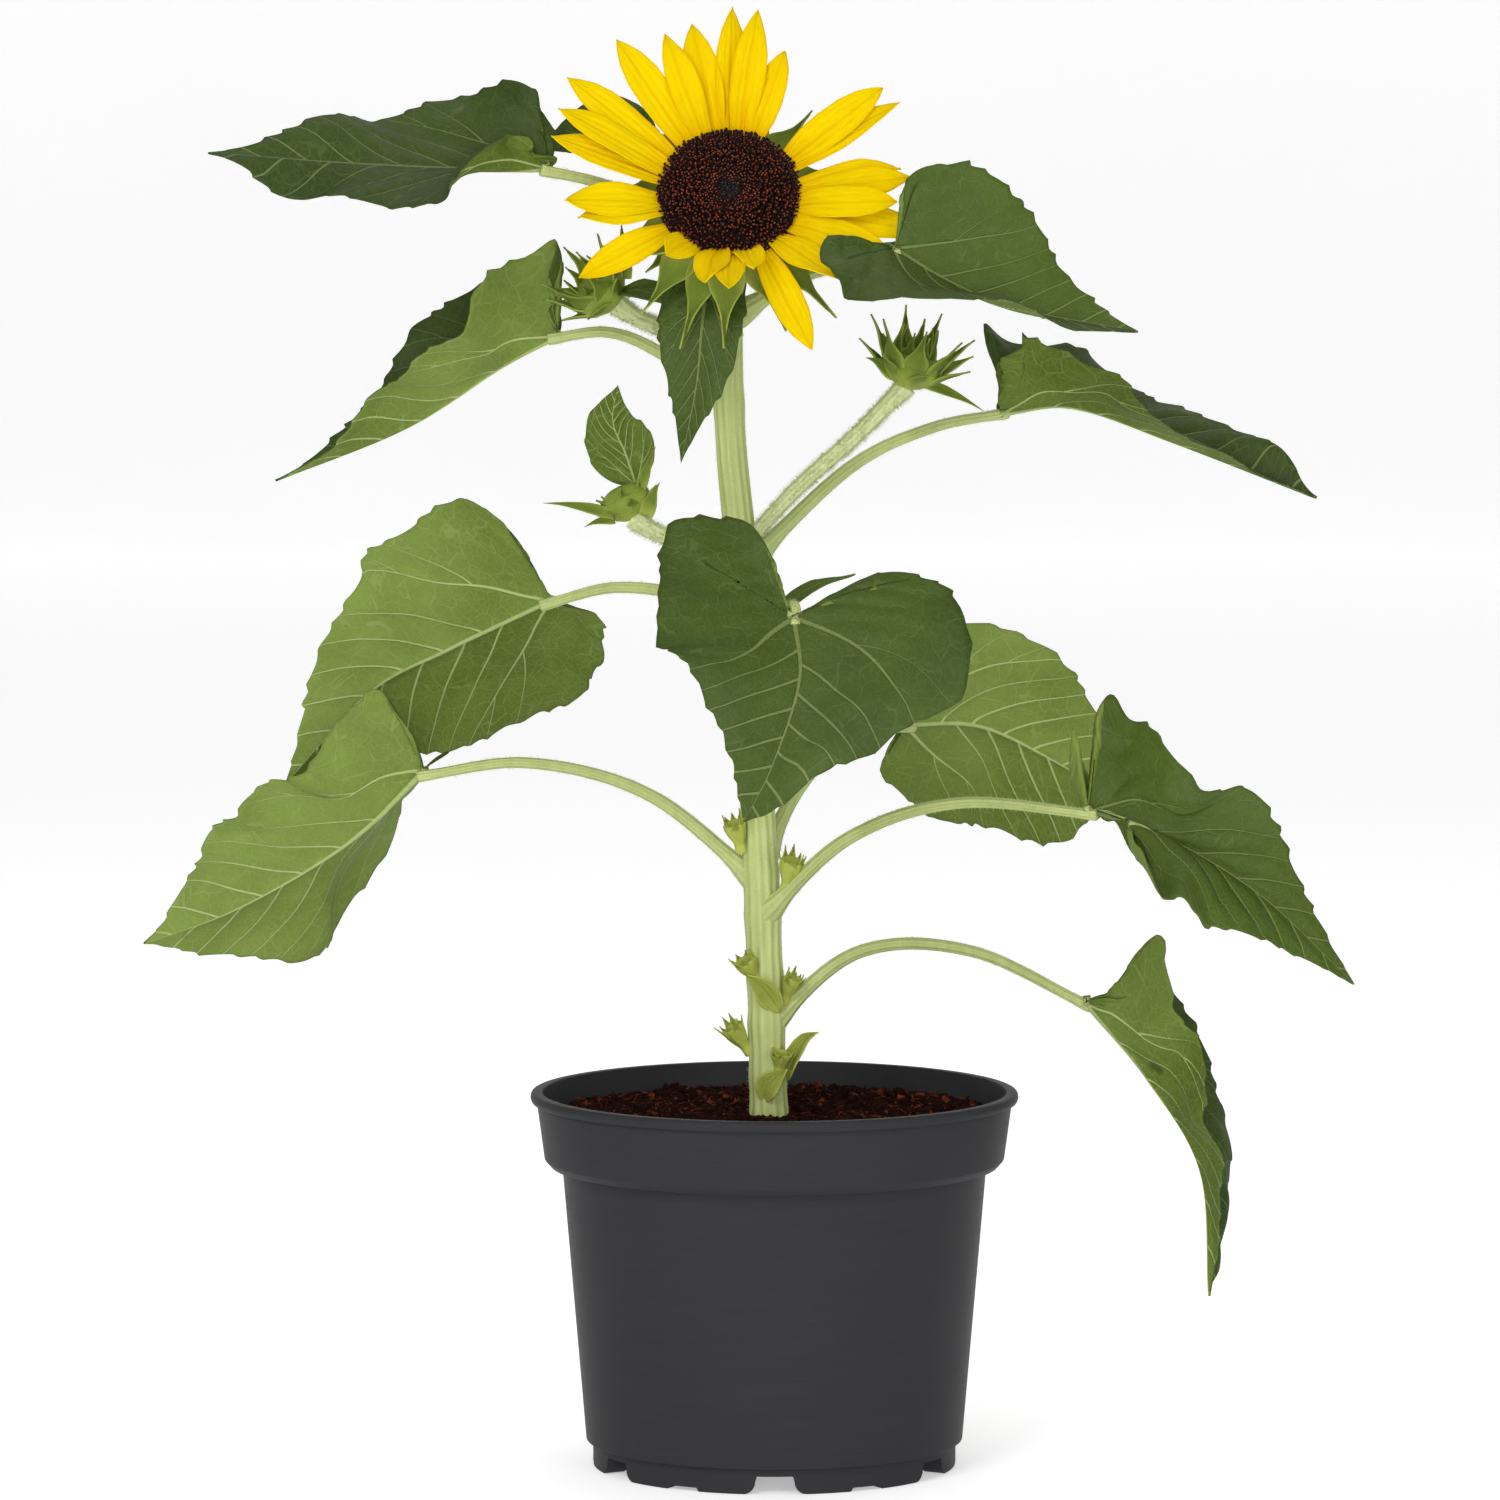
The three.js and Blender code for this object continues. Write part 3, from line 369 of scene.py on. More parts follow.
class SunflowerSizes(bpy.types.PropertyGroup):
    tooth_depth: length_prop("Tooth depth", 0.0021, "How far the teeth on a leaf's margin stand out")
    tooth_pitch: length_prop("Tooth spacing", 0.0105, "Distance between the teeth on a leaf's margin")
    blade: length_prop("Leaf thickness", 0.0005, "Thickness of a leaf between its veins")
    midrib: length_prop("Midrib thickness", 0.0022, "Thickness of a leaf's midrib at the stalk")
    quilt: length_prop("Leaf quilting", 0.0010, "How far a leaf bulges between its veins")
    hair: length_prop("Hair length", 0.0012, "Length of the hairs on stem, stalks and bracts")
    crumb: length_prop("Crumb size", 0.0011, "Mean radius of the crumbs of soil")


class SunflowerColours(bpy.types.PropertyGroup):
    # the dark and light ends are mixed by random patches and by each leaf half's tone, which is partly the
    # leaf's own tone and partly painted shade and painted light on that half
    leaf_dark: colour_prop("Leaf, dark", (42, 61, 10), "Upper face of the leaves, in its darker patches")
    leaf_light: colour_prop("Leaf, light", (71, 92, 24), "Upper face of the leaves, in its lighter patches")
    under_dark: colour_prop("Underside, dark", (75, 94, 8), "Underside of the leaves, darker patches")
    under_light: colour_prop("Underside, light", (119, 141, 60), "Underside of the leaves, lighter patches")
    vein: colour_prop("Vein", (186, 200, 130), "Veins of the leaves")
    stem: colour_prop("Stem", (150, 162, 74), "Stem and stalks, between the ribs")
    stem_rib: colour_prop("Stem rib", (186, 197, 124), "Raised ribs of the stem and stalks")
    petal: colour_prop("Petal", (244, 214, 0), "Ray petals")
    petal_line: colour_prop("Petal line", (238, 160, 0), "Lines and base of the ray petals")
    disc: colour_prop("Disc", (46, 13, 6), "Florets of the disc")
    disc_tip: colour_prop("Disc tip", (168, 84, 46), "Tips of the disc's open florets")
    disc_heart: colour_prop("Disc heart", (16, 13, 13), "Closed florets in the disc's centre")
    bract: colour_prop("Bract", (104, 124, 40), "Bracts of bloom and buds")
    bract_edge: colour_prop("Bract edge", (180, 188, 86), "Bases and edges of the bracts")
    hair: colour_prop("Hair", (226, 230, 200), "Hairs on stem, stalks and bracts")
    pot: colour_prop("Pot", (46, 46, 48), "Pot's satin black plastic")
    soil: colour_prop("Soil", (38, 16, 10), "Soil and its dark crumbs")
    soil_fleck: colour_prop("Soil fleck", (112, 54, 30), "Light fibres and flecks in the soil")
    floor: colour_prop("Floor", (246, 246, 246), "Plain floor under the pot")


# ---------------------------------------------------------------- curves and surfaces

def unit(v):
    return v / np.maximum(np.linalg.norm(v, axis=-1, keepdims=True), 1e-12)


def smooth(t):
    t = np.clip(t, 0, 1)
    return t * t * (3 - 2 * t)


def spline(points, steps=24):
    """Dense points on the smooth curve through the given ones, the same number between each pair."""
    p = np.asarray(points, float)
    ends = np.vstack([2 * p[0] - p[1], p, 2 * p[-1] - p[-2]])
    t = np.linspace(0, 1, steps, endpoint=False)[:, None]
    parts = [
        0.5 * (2 * b + (c - a) * t + (2 * a - 5 * b + 4 * c - d) * t**2 + (3 * b - a - 3 * c + d) * t**3)
        for a, b, c, d in zip(ends, ends[1:], ends[2:], ends[3:])
    ]
    return np.vstack(parts + [p[-1:]])


class Course:
    """A smooth curve through points in millimetres, measured in metres along its length."""

    def __init__(self, points):
        self.points = spline(points) * MM
        gaps = np.linalg.norm(np.diff(self.points, axis=0), axis=1)
        self.far = np.concatenate([[0], np.cumsum(gaps)])
        self.length = self.far[-1]

    def at(self, share):
        far = np.clip(share, 0, 1) * self.length
        return np.stack([np.interp(far, self.far, self.points[:, axis]) for axis in range(3)], -1)

    def along(self, share, span=0.02):
        return unit(self.at(np.minimum(share + span, 1)) - self.at(np.maximum(share - span, 0)))

    def across(self, share):
        along = self.along(share)
        side = unit(np.cross(SIDEWAYS, along))
        return side, np.cross(along, side)


class Leaf:
    """The bent surface of a leaf."""

    def __init__(self, shape):
        self.rib = Course(shape["rib"])
        self.up = unit(np.array(shape["up"], float))
        self.half = np.array(shape["half"]) * MM
        self.folds = np.radians(shape["fold"])
        self.base = shape.get("base", (1, 1))
        outline = OUTLINES[shape.get("outline", "heart")]
        self.margins = [
            spline([(x * lobe if x < 0 else x, y) for x, y in outline]) for lobe in shape["lobe"]
        ]

    def flat(self, share, out):
        """Flat place, along the rib and out from it, for shares of the margin and of the way out."""
        share, out = np.broadcast_arrays(np.asarray(share, float), np.asarray(out, float))
        edge = np.zeros(share.shape + (2,))
        for i, (margin, half, base) in enumerate(zip(self.margins, self.half, self.base)):
            mine = (out < 0) == (i == 1)
            at = share[mine] * (len(margin) - 1)
            x, y = (np.interp(at, np.arange(len(margin)), margin[:, axis]) for axis in (0, 1))
            edge[mine, 0] = x * self.rib.length
            edge[mine, 1] = y * half * (base + (1 - base) * smooth(x / FULL_AT))
        spring = np.maximum(0, (share - FAN) / (1 - FAN)) ** VEIN_SPREAD
        root = np.stack([spring * self.rib.length, 0 * spring], -1)
        bow = (root + edge) / 2
        bow[..., 0] -= VEIN_BOW * np.linalg.norm(edge - root, axis=-1) * (spring > 0)
        t = np.abs(out)[..., None]
        place = root * (1 - t) ** 2 + 2 * bow * t * (1 - t) + edge * t**2
        return place[..., 0], place[..., 1] * np.sign(out)

    def bent(self, x, y):
        """Points and upward normals on the bent leaf for flat places."""
        share = np.clip(x / self.rib.length, 0, 1)
        forward = self.rib.along(share, SMOOTHING)
        up = self.up[0] + 0 * forward
        if len(self.up) > 1:
            step = share * (len(self.up) - 1)
            i = np.minimum(step.astype(int), len(self.up) - 2)
            t = (step - i)[..., None]
            up = self.up[i] * (1 - t) + self.up[i + 1] * t
        up = unit(up - forward * np.sum(up * forward, -1, keepdims=True))
        side = np.cross(up, forward) * np.where(y < 0, -1, 1)[..., None]
        left, right = (np.interp(share, FOLD_AT, folds) for folds in self.folds)
        fold = np.where(y < 0, right, left)[..., None]
        reach = np.abs(y)[..., None]
        rise = np.sqrt(reach**2 + CREASE**2) - CREASE
        back = forward * np.minimum(x, 0)[..., None]
        point = self.rib.at(share) + back + side * np.cos(fold) * reach + up * np.sin(fold) * rise
        return point, up * np.cos(fold) - side * np.sin(fold)


def pulled(shape, share, out):
    """Displacement of a leaf's points by the pulls on its margin."""
    moved = np.zeros(share.shape + (3,))
    for half, at, width, way in shape.get("pulls", ()):
        mine = (out < 0) if half else (out > 0)
        weight = np.exp(-(((share - at) / width) ** 2)) * smooth(np.abs(out) * 1.1) * mine
        moved += weight[..., None] * np.array(way) * MM
    return moved


def strap(rib, up, half, rows, columns, kind, fold=14, wave=0, phase=0, groove=0, grooves=3, twist=0):
    """Points of a narrow blade along a rib, its width from STRAPS; lengths in metres."""
    share = np.linspace(0, 1, rows)[:, None] ** 0.9
    out = np.linspace(-1, 1, columns)[None, :]
    at = share + 0 * out
    width = half * np.interp(at, *zip(*STRAPS[kind]))
    forward = rib.along(at, 0.06)
    lift = np.asarray(up, float) + 0 * forward
    lift = unit(lift - forward * np.sum(lift * forward, -1, keepdims=True))
    side = np.cross(lift, forward)
    turn = (math.radians(twist) * at)[..., None]
    lift, side = lift * np.cos(turn) + side * np.sin(turn), side * np.cos(turn) - lift * np.sin(turn)
    y = out * width
    angle = math.radians(fold)
    height = np.abs(y) * math.sin(angle) * (1 - 0.35 * at)
    height = height + wave * out**2 * np.sin(9 * at + phase + 1.4 * out)
    height = height - groove * np.cos(np.pi * grooves * out) * smooth(at * 5) * smooth((1 - at) * 3)
    points = rib.at(at) + side * (y * math.cos(angle))[..., None] + lift * height[..., None]
    return points, np.stack([at, out + 0 * at], -1)


# ---------------------------------------------------------------- making pieces

def random_numbers(seed):
    return np.random.default_rng(seed)


def deselect():
    if bpy.context.mode != "OBJECT":
        bpy.ops.object.mode_set(mode="OBJECT")
    bpy.ops.object.select_all(action="DESELECT")


def select(*objects):
    deselect()
    for piece in objects:
        piece.select_set(True)
    bpy.context.view_layer.objects.active = objects[0]


def in_edit(*steps):
    """Runs edit-mode operators on the whole of the active object."""
    bpy.ops.object.mode_set(mode="EDIT")
    for step in steps:
        bpy.ops.mesh.select_all(action="SELECT")
        step()
    bpy.ops.object.mode_set(mode="OBJECT")


def weld():
    bpy.ops.mesh.remove_doubles(threshold=1e-6)


def outward():
    bpy.ops.mesh.normals_make_consistent(inside=False)


def settled(name, *steps):
    """The active object after edit-mode steps on the whole of it, with its place applied."""
    in_edit(*steps, outward)
    piece = bpy.context.object
    piece.name = piece.data.name = name
    select(piece)
    bpy.ops.object.transform_apply(location=True, rotation=False, scale=False)
    return piece


def apply_modifiers(piece):
    select(piece)
    for modifier in list(piece.modifiers):
        bpy.ops.object.modifier_apply(modifier=modifier.name)


def draped_grid(name, points, maps=None):
    """A grid primitive draped over rows and columns of points, with its UV maps by name."""
    rows, columns = points.shape[:2]
    deselect()
    bpy.ops.mesh.primitive_grid_add(
        x_subdivisions=rows - 1, y_subdivisions=columns - 1, size=1, calc_uvs=False, location=(0, 0, 0),
    )
    piece = bpy.context.object
    piece.name = name
    mesh = piece.data
    mesh.name = name
    flat = np.empty(len(mesh.vertices) * 3)
    mesh.vertices.foreach_get("co", flat)
    flat = flat.reshape(-1, 3)
    row = np.rint((flat[:, 0] + 0.5) * (rows - 1)).astype(int)
    column = np.rint((flat[:, 1] + 0.5) * (columns - 1)).astype(int)
    mesh.vertices.foreach_set("co", points[row, column].ravel())
    corners = np.empty(len(mesh.loops), int)
    mesh.loops.foreach_get("vertex_index", corners)
    for label, values in (maps or {}).items():
        layer = mesh.uv_layers.new(name=label)
        layer.data.foreach_set("uv", values[row, column][corners].astype(np.float32).ravel())
    mesh.update()
    return piece, row, column


def limb(name, course, radius, rows, sides):
    """A closed limb along a course; radius(share, angle) gives its surface in metres."""
    share = np.concatenate([[0], np.linspace(0, 1, rows), [1]])[:, None]
    angle = np.linspace(0, TURN, sides + 1)[None, :]
    girth = radius(share, angle)
    girth[[0, -1]] = 0
    points = limb_points(course, share + 0 * angle, angle + 0 * share, girth)
    turns = np.stack([angle / (TURN) + 0 * share, share * course.length + 0 * angle], -1)
    piece, _, _ = draped_grid(name, points, {"round": turns})
    in_edit(weld, outward)
    return piece


def limb_points(course, share, angle, girth):
    side, other = course.across(share)
    way = side * np.cos(angle)[..., None] + other * np.sin(angle)[..., None]
    return course.at(share) + way * girth[..., None]


def strew(source, name, turns, places, slots=None):
    """One piece of many copies of a source, each turned and scaled by a matrix and put at a place."""
    mesh = source.data
    points = np.empty(len(mesh.vertices) * 3)
    mesh.vertices.foreach_get("co", points)
    points = points.reshape(-1, 3)
    corners = np.empty(len(mesh.loops), int)
    mesh.loops.foreach_get("vertex_index", corners)
    starts = np.empty(len(mesh.polygons), int)
    mesh.polygons.foreach_get("loop_start", starts)
    finishes = np.empty(len(mesh.polygons), int)
    mesh.polygons.foreach_get("material_index", finishes)
    count = len(places)
    many = bpy.data.meshes.new(name)
    many.vertices.add(count * len(points))
    many.loops.add(count * len(corners))
    many.polygons.add(count * len(starts))
    spread = np.einsum("nij,pj->npi", turns, points) + places[:, None, :]
    many.vertices.foreach_set("co", spread.ravel())
    step = np.arange(count)[:, None]
    many.loops.foreach_set("vertex_index", (corners[None, :] + step * len(points)).ravel())
    many.polygons.foreach_set("loop_start", (starts[None, :] + step * len(corners)).ravel())
    kinds = finishes[None, :] + (0 * step if slots is None else np.asarray(slots)[:, None])
    many.polygons.foreach_set("material_index", kinds.ravel())
    many.update(calc_edges=True)
    piece = bpy.data.objects.new(name, many)
    bpy.context.collection.objects.link(piece)
    bpy.data.objects.remove(source)
    return piece


def aim_frames(directions, spin):
    """Matrices that turn +Z to each direction, after a turn about it."""
    axis = unit(np.asarray(directions, float))
    spare = np.where(np.abs(axis[:, 2:]) < 0.9, np.array((0, 0, 1.0)), np.array((1.0, 0, 0)))
    side = unit(np.cross(spare, axis))
    other = np.cross(axis, side)
    cos, sin = np.cos(spin)[:, None], np.sin(spin)[:, None]
    return np.stack([side * cos + other * sin, other * cos - side * sin, axis], -1)


def join(name, pieces):
    select(*pieces)
    if len(pieces) > 1:
        bpy.ops.object.join()
    piece = bpy.context.object
    piece.name = name
    piece.data.name = name
    return piece


def finish_piece(piece, materials, nodes=(), angle=None):
    """Gives a finished piece its materials, shading and body, and hides the CAD parts of the nodes it
    stands for.
    """
    select(piece)
    for material in materials:
        piece.data.materials.append(material)
    if angle is None:
        bpy.ops.object.shade_smooth()
    else:
        bpy.ops.object.shade_smooth_by_angle(angle=math.radians(angle))
    bpy.ops.object.transform_apply(location=True, rotation=True, scale=True)
    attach(piece, "root")
    if nodes:
        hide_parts(*nodes)
    return piece


# ---------------------------------------------------------------- material building

def operation(name, turned=False):
    """A method of Socket for one operation of the Math node; turned swaps its two values."""
    def method(self, other):
        return self.math(name, other, self) if turned else self.math(name, self, other)
    return method


class Socket:
    """A value inside a material; arithmetic on it adds Math nodes."""

    def __init__(self, finish, socket):
        self.finish = finish
        self.socket = socket

    def math(self, operation, *values):
        inputs = dict(enumerate(values))
        return self.finish.node("ShaderNodeMath", {"operation": operation}, inputs)

    __add__, __radd__ = operation("ADD"), operation("ADD", True)
    __sub__, __rsub__ = operation("SUBTRACT"), operation("SUBTRACT", True)
    __mul__, __rmul__ = operation("MULTIPLY"), operation("MULTIPLY", True)
    __truediv__, __pow__ = operation("DIVIDE"), operation("POWER")
    __lt__, __gt__ = operation("LESS_THAN"), operation("GREATER_THAN")
    min, max = operation("MINIMUM"), operation("MAXIMUM")

    def __abs__(self):
        return self.math("ABSOLUTE", self)

    def wave(self):
        """Waves from 0 to 1, one for each whole turn."""
        return self.math("COSINE", self) * 0.5 + 0.5

    def clamped(self):
        return self.max(0).min(1)


class Finish:
    """One material, built up node by node."""

    def __init__(self, name):
        self.material = bpy.data.materials.new(name)
        self.material.use_nodes = True
        self.tree = self.material.node_tree
        self.tree.nodes.clear()

    def node(self, kind, settings=None, values=None, output=0):
        """Adds a node: its settings first, then values or links for its sockets; gives one output."""
        node = self.tree.nodes.new(kind)
        for key, value in (settings or {}).items():
            setattr(node, key, value)
        for key, value in (values or {}).items():
            if isinstance(value, Socket):
                self.tree.links.new(value.socket, node.inputs[key])
            elif isinstance(node.inputs[key].default_value, float):
                node.inputs[key].default_value = value
            else:
                missing = len(node.inputs[key].default_value) - len(value)
                node.inputs[key].default_value = tuple(value) + (1,) * missing
        return Socket(self, node.outputs[output]) if node.outputs else None

    def place(self, scale=(1, 1, 1)):
        """Object coordinates, stretched."""
        return self.stretched(self.node("ShaderNodeTexCoord", output="Object"), scale)

    def map(self, name):
        return self.node("ShaderNodeUVMap", {"uv_map": name})

    def parts(self, vector):
        node = self.tree.nodes.new("ShaderNodeSeparateXYZ")
        self.tree.links.new(vector.socket, node.inputs[0])
        return Socket(self, node.outputs[0]), Socket(self, node.outputs[1])

    def noise(self, vector, scale, detail=3, roughness=0.55):
        values = {"Vector": vector, "Scale": scale, "Detail": detail, "Roughness": roughness}
        return self.node("ShaderNodeTexNoise", None, values)

    def cells(self, vector, scale):
        """Distance to the edge of the cell, in a pattern of cells."""
        values = {"Vector": vector, "Scale": scale}
        return self.node("ShaderNodeTexVoronoi", {"feature": "DISTANCE_TO_EDGE"}, values)

    def attribute(self, name):
        return self.node("ShaderNodeAttribute", {"attribute_name": name}, output="Fac")

    def stretched(self, vector, scale):
        return self.node("ShaderNodeMapping", values={"Vector": vector, "Scale": scale})

    def mix(self, factor, first, second):
        """Colour between two."""
        node = self.tree.nodes.new("ShaderNodeMix")
        node.data_type = "RGBA"
        node.clamp_factor = True
        for index, value in ((0, factor), (6, first), (7, second)):
            if isinstance(value, Socket):
                self.tree.links.new(value.socket, node.inputs[index])
            elif index:
                node.inputs[index].default_value = (*value, 1)
            else:
                node.inputs[index].default_value = value
        return Socket(self, node.outputs[2])

    def bump(self, height, distance):
        return self.node("ShaderNodeBump", None, {"Height": height, "Distance": distance}, "Normal")

    def surface(self, colour, roughness, normal, glow=0, shine=0.5, emitted=0):
        """Ends the material; glow is the share of light that comes through from behind."""
        values = {"Base Color": colour, "Roughness": roughness, "Normal": normal}
        values["Specular IOR Level"] = shine
        if emitted:
            values |= {"Emission Color": (1, 1, 1), "Emission Strength": emitted}
        shader = self.node("ShaderNodeBsdfPrincipled", None, values)
        if glow:
            back = self.node("ShaderNodeBsdfTranslucent", None, {"Color": colour, "Normal": normal})
            front, shader = shader, self.tree.nodes.new("ShaderNodeMixShader")
            shader.inputs[0].default_value = glow
            self.tree.links.new(front.socket, shader.inputs[1])
            self.tree.links.new(back.socket, shader.inputs[2])
            shader = Socket(self, shader.outputs[0])
        self.node("ShaderNodeOutputMaterial", None, {"Surface": shader})
        return self.material


def shared(name, build, *values, **more):
    """A material by name, built the first time that a piece asks for it."""
    return bpy.data.materials.get(name) or build(name, *values, **more)


def palette():
    return bpy.context.scene.sunflower_colours


def sizes():
    return bpy.context.scene.sunflower_sizes


def line(distance, width):
    """1 on a line and 0 beyond its half-width."""
    return ((1 - distance / width) * 2.2).clamped()


def leaf_veins(f):
    """Masks of a leaf's strong veins and of the fine net between them."""
    along, signed = f.parts(f.map("veins"))
    length = f.attribute("length")
    span = f.attribute("span")
    out = abs(signed)
    thin = (1.2 - out * 2.4).max(0.3) * (length * 12).min(1)
    midrib = line(out * span, (1.12 - along) * (length * 12).min(1) * 0.0012)
    rooted = along - out * VEIN_SLOPE - out ** 2 * VEIN_CURVE
    wander = (f.noise(f.map("flat"), 14, 2) - 0.5) * 0.5
    station = (rooted - VEIN_FIRST) / VEIN_PITCH + (signed < 0) * 0.5 + wander
    beside = abs(station - station.math("ROUND", station)) * VEIN_PITCH * length * 0.6
    laterals = line(beside, 0.0005 * thin) * (rooted > VEIN_FIRST - VEIN_PITCH * 0.6)
    basal = line(abs(rooted) * length * 0.6, 0.0008 * thin)
    fork = (out + rooted * BRANCH_LEAN) / BRANCH_PITCH - 0.4
    beside = abs(fork - fork.math("ROUND", fork)) * BRANCH_PITCH * span * 0.8
    branches = line(beside, 0.00045 * thin) * (rooted < 0) * (fork > 0.4)
    strong = midrib.max(laterals).max(basal).max(branches)
    flat = f.map("flat")
    bend = f.noise(flat, 90, 2)
    bent = {0: bend, 1: (0.006,) * 3, 2: flat}
    flat = f.node("ShaderNodeVectorMath", {"operation": "MULTIPLY_ADD"}, bent)
    fine = line(f.cells(flat, 420), 0.12)
    coarse = line(f.cells(flat, 130), 0.035)
    return strong, (fine * 0.4).max(coarse)


def leaf_upper(name):
    f = Finish(name)
    c = palette()
    strong, net = leaf_veins(f)
    place = f.place()
    # each half's tone is partly the leaf's own tone and partly painted shade and painted light on that half
    tone = f.attribute("tone")
    patch = (f.noise(place, 26, 4) - 0.5) * 1.3 + tone
    colour = f.mix(patch.clamped(), c.leaf_dark, c.leaf_light)
    colour = f.mix(net * 0.05, colour, c.vein)
    colour = f.mix(strong * 0.2, colour, c.vein)
    grain = f.noise(place, 900, 2)
    height = grain * 0.14 - strong * 0.9 - net * 0.28
    roughness = 0.46 + f.noise(place, 60, 3) * 0.18 + strong * 0.1
    return f.surface(colour, roughness, f.bump(height, 0.0006), glow=0.1, shine=0.22)


def leaf_under(name):
    f = Finish(name)
    c = palette()
    strong, net = leaf_veins(f)
    place = f.place()
    # each half's tone is partly the leaf's own tone and partly painted shade and painted light on that half
    tone = f.attribute("tone")
    patch = (f.noise(place, 14, 5, 0.6) - 0.5) * 1.9 + 0.06 + tone * 0.75
    colour = f.mix(patch.clamped(), c.under_dark, c.under_light)
    colour = f.mix(net * 0.13, colour, c.vein)
    colour = f.mix(strong * 0.62, colour, c.vein)
    blot = ((f.noise(place, 70, 2, 0.3) - 0.75) * 14).clamped()
    colour = f.mix(blot * 0.7, colour, c.leaf_dark)
    grain = f.noise(place, 1100, 2)
    height = grain * 0.2 + strong * 0.9 + net * 0.3
    roughness = 0.62 + f.noise(place, 80, 3) * 0.2
    return f.surface(colour, roughness, f.bump(height, 0.0005), glow=0.14, shine=0.3)


def stalk_finish(name, ribs=12, green=0.0, down=0.15):
    f = Finish(name)
    c = palette()
    place = f.place()
    turn, _ = f.parts(f.map("round"))
    strip = (turn * (TURN * ribs)).wave()
    streak = f.noise(f.place((1, 1, 0.12)), 320, 3)
    factor = (strip * 0.35 + (streak - 0.5) + 0.3).clamped()
    colour = f.mix(factor, c.stem, c.stem_rib)
    patch = ((f.noise(place, 38, 4) - 0.42) * 2.2 + green).clamped()
    colour = f.mix(patch * 0.45, colour, c.bract)
    fluff = (f.noise(f.place((1, 1, 0.4)), 2600, 2) * 2 - 0.4).clamped()
    colour = f.mix(fluff * down, colour, c.hair)
    height = strip * 0.5 + streak * 0.5 + f.noise(place, 1400, 2) * 0.3
    return f.surface(colour, 0.5 + streak * 0.25, f.bump(height, 0.0004), glow=0.06)


def petal_finish(name):
    f = Finish(name)
    c = palette()
    along, out = f.parts(f.map("blade"))
    lines = (out * TURN).wave()
    place = f.place()
    streak = f.noise(f.stretched(f.map("blade"), (1.5, 16, 1)), 3, 3)
    base = ((1 - along * 2.6) * 0.9).clamped()
    factor = lines ** 6 * 0.16 + base * 0.5 + (streak - 0.5) * 0.6 + (f.noise(place, 30, 2) - 0.5) * 0.5
    colour = f.mix(factor.clamped(), c.petal, c.petal_line)
    height = streak * 0.7 + f.noise(place, 1200, 2) * 0.25 - lines ** 6 * 0.5
    return f.surface(colour, 0.5 + streak * 0.15, f.bump(height, 0.0004), glow=0.24, shine=0.04)


def bract_finish(name, pale=0.0):
    f = Finish(name)
    c = palette()
    along, out = f.parts(f.map("blade"))
    place = f.place()
    streak = f.noise(f.stretched(f.map("blade"), (1.2, 12, 1)), 3, 3)
    edge = abs(out) ** 5
    base = ((0.42 - along) * 2).clamped()
    factor = edge * 0.4 + base * 0.6 + (streak - 0.5) + (f.noise(place, 60, 3) - 0.5) * 0.9 + pale
    colour = f.mix(factor.clamped(), c.bract, c.bract_edge)
    height = streak * 0.8 + f.noise(place, 1300, 2) * 0.4
    return f.surface(colour, 0.6 + streak * 0.15, f.bump(height, 0.0004), glow=0.12, shine=0.2)


def mottled(name, first, second, scale, roughness, bump, fine=900, shine=0.2, **extra):
    """A finish of two colours in patches, with a fine grain."""
    f = Finish(name)
    place = f.place()
    patch = ((f.noise(place, scale, 4) - 0.5) * 2.4 + 0.5).clamped()
    grain = f.noise(place, fine, 3)
    height = grain + patch * 0.6
    roughness = roughness + grain * 0.12
    return f.surface(f.mix(patch, first, second), roughness, f.bump(height, bump), shine=shine, **extra)


def pot_finish(name):
    f = Finish(name)
    c = palette()
    drawn = f.noise(f.place((1, 1, 26)), 42, 4, 0.65)
    speckle = f.noise(f.place(), 1500, 2)
    scuff = ((f.noise(f.place((1, 1, 3)), 34, 5, 0.7) - 0.56) * 5).clamped()
    colour = f.mix(scuff * 0.3 + (drawn - 0.4) * 0.9, c.pot, POT_SCUFF)
    height = drawn * 0.8 + speckle * 0.25
    return f.surface(colour, 0.4 + drawn * 0.14 + scuff * 0.1, f.bump(height, 0.00004), shine=0.04)


# ---------------------------------------------------------------- pot and soil

# the pot's section from the middle of its underside, over its rim, to the middle of its floor:
# radius, height, and the rounding of that corner
POT_SECTION = [
    (0, 0, 0), (22, 0, 0.8), (24, 7.4, 0.8), (60, 7.4, 0.8), (62, 0, 0.6), (70.8, 0, 0.8), (70.8, 10, 0.4),
    (73.4, 10, 0.7), (82.6, 117.5, 0.5), (87.0, 117.5, 0.8), (89.5, 120.3, 1.5), (92.3, 141.2, 0.6),
    (92.3, 142.5, 0.2), (94.4, 142.5, 0.9), (95, 144.2, 1.4), (94.6, 146.5, 1.5), (90.3, 146.5, 0.7),
    (87.5, 121.5, 1), (80.6, 119.5, 1.2), (71.4, 12, 1), (68.8, 9.4, 1.5), (0, 9.4, 0),
]
SOIL_LEVEL = 137.5
# heaps of larger crumbs: place and size
CLODS = [
    (14, 6, 5.0), (27, 16, 5.4), (36, 12, 4.6), (42, 22, 5.6), (51, 18, 4.0), (-34, 20, 2.2), (-58, 8, 2.0),
    (6, 40, 2.4),
]


def rounded(section, steps=4):
    """Points of a section with its corners rounded."""
    corners = [np.array(corner[:2], float) for corner in section]
    points = [corners[0]]
    for before, corner, after, (_, _, radius) in zip(corners, corners[1:], corners[2:], section[1:]):
        to_before, to_after = unit(before - corner), unit(after - corner)
        bend = math.acos(np.clip(-np.dot(to_before, to_after), -1, 1))
        trim = radius * math.tan(bend / 2)
        start, end = corner + to_before * trim, corner + to_after * trim
        for t in np.linspace(0, 1, steps + 1):
            points.append(start * (1 - t) ** 2 + 2 * corner * t * (1 - t) + end * t**2)
    points.append(corners[-1])
    return points


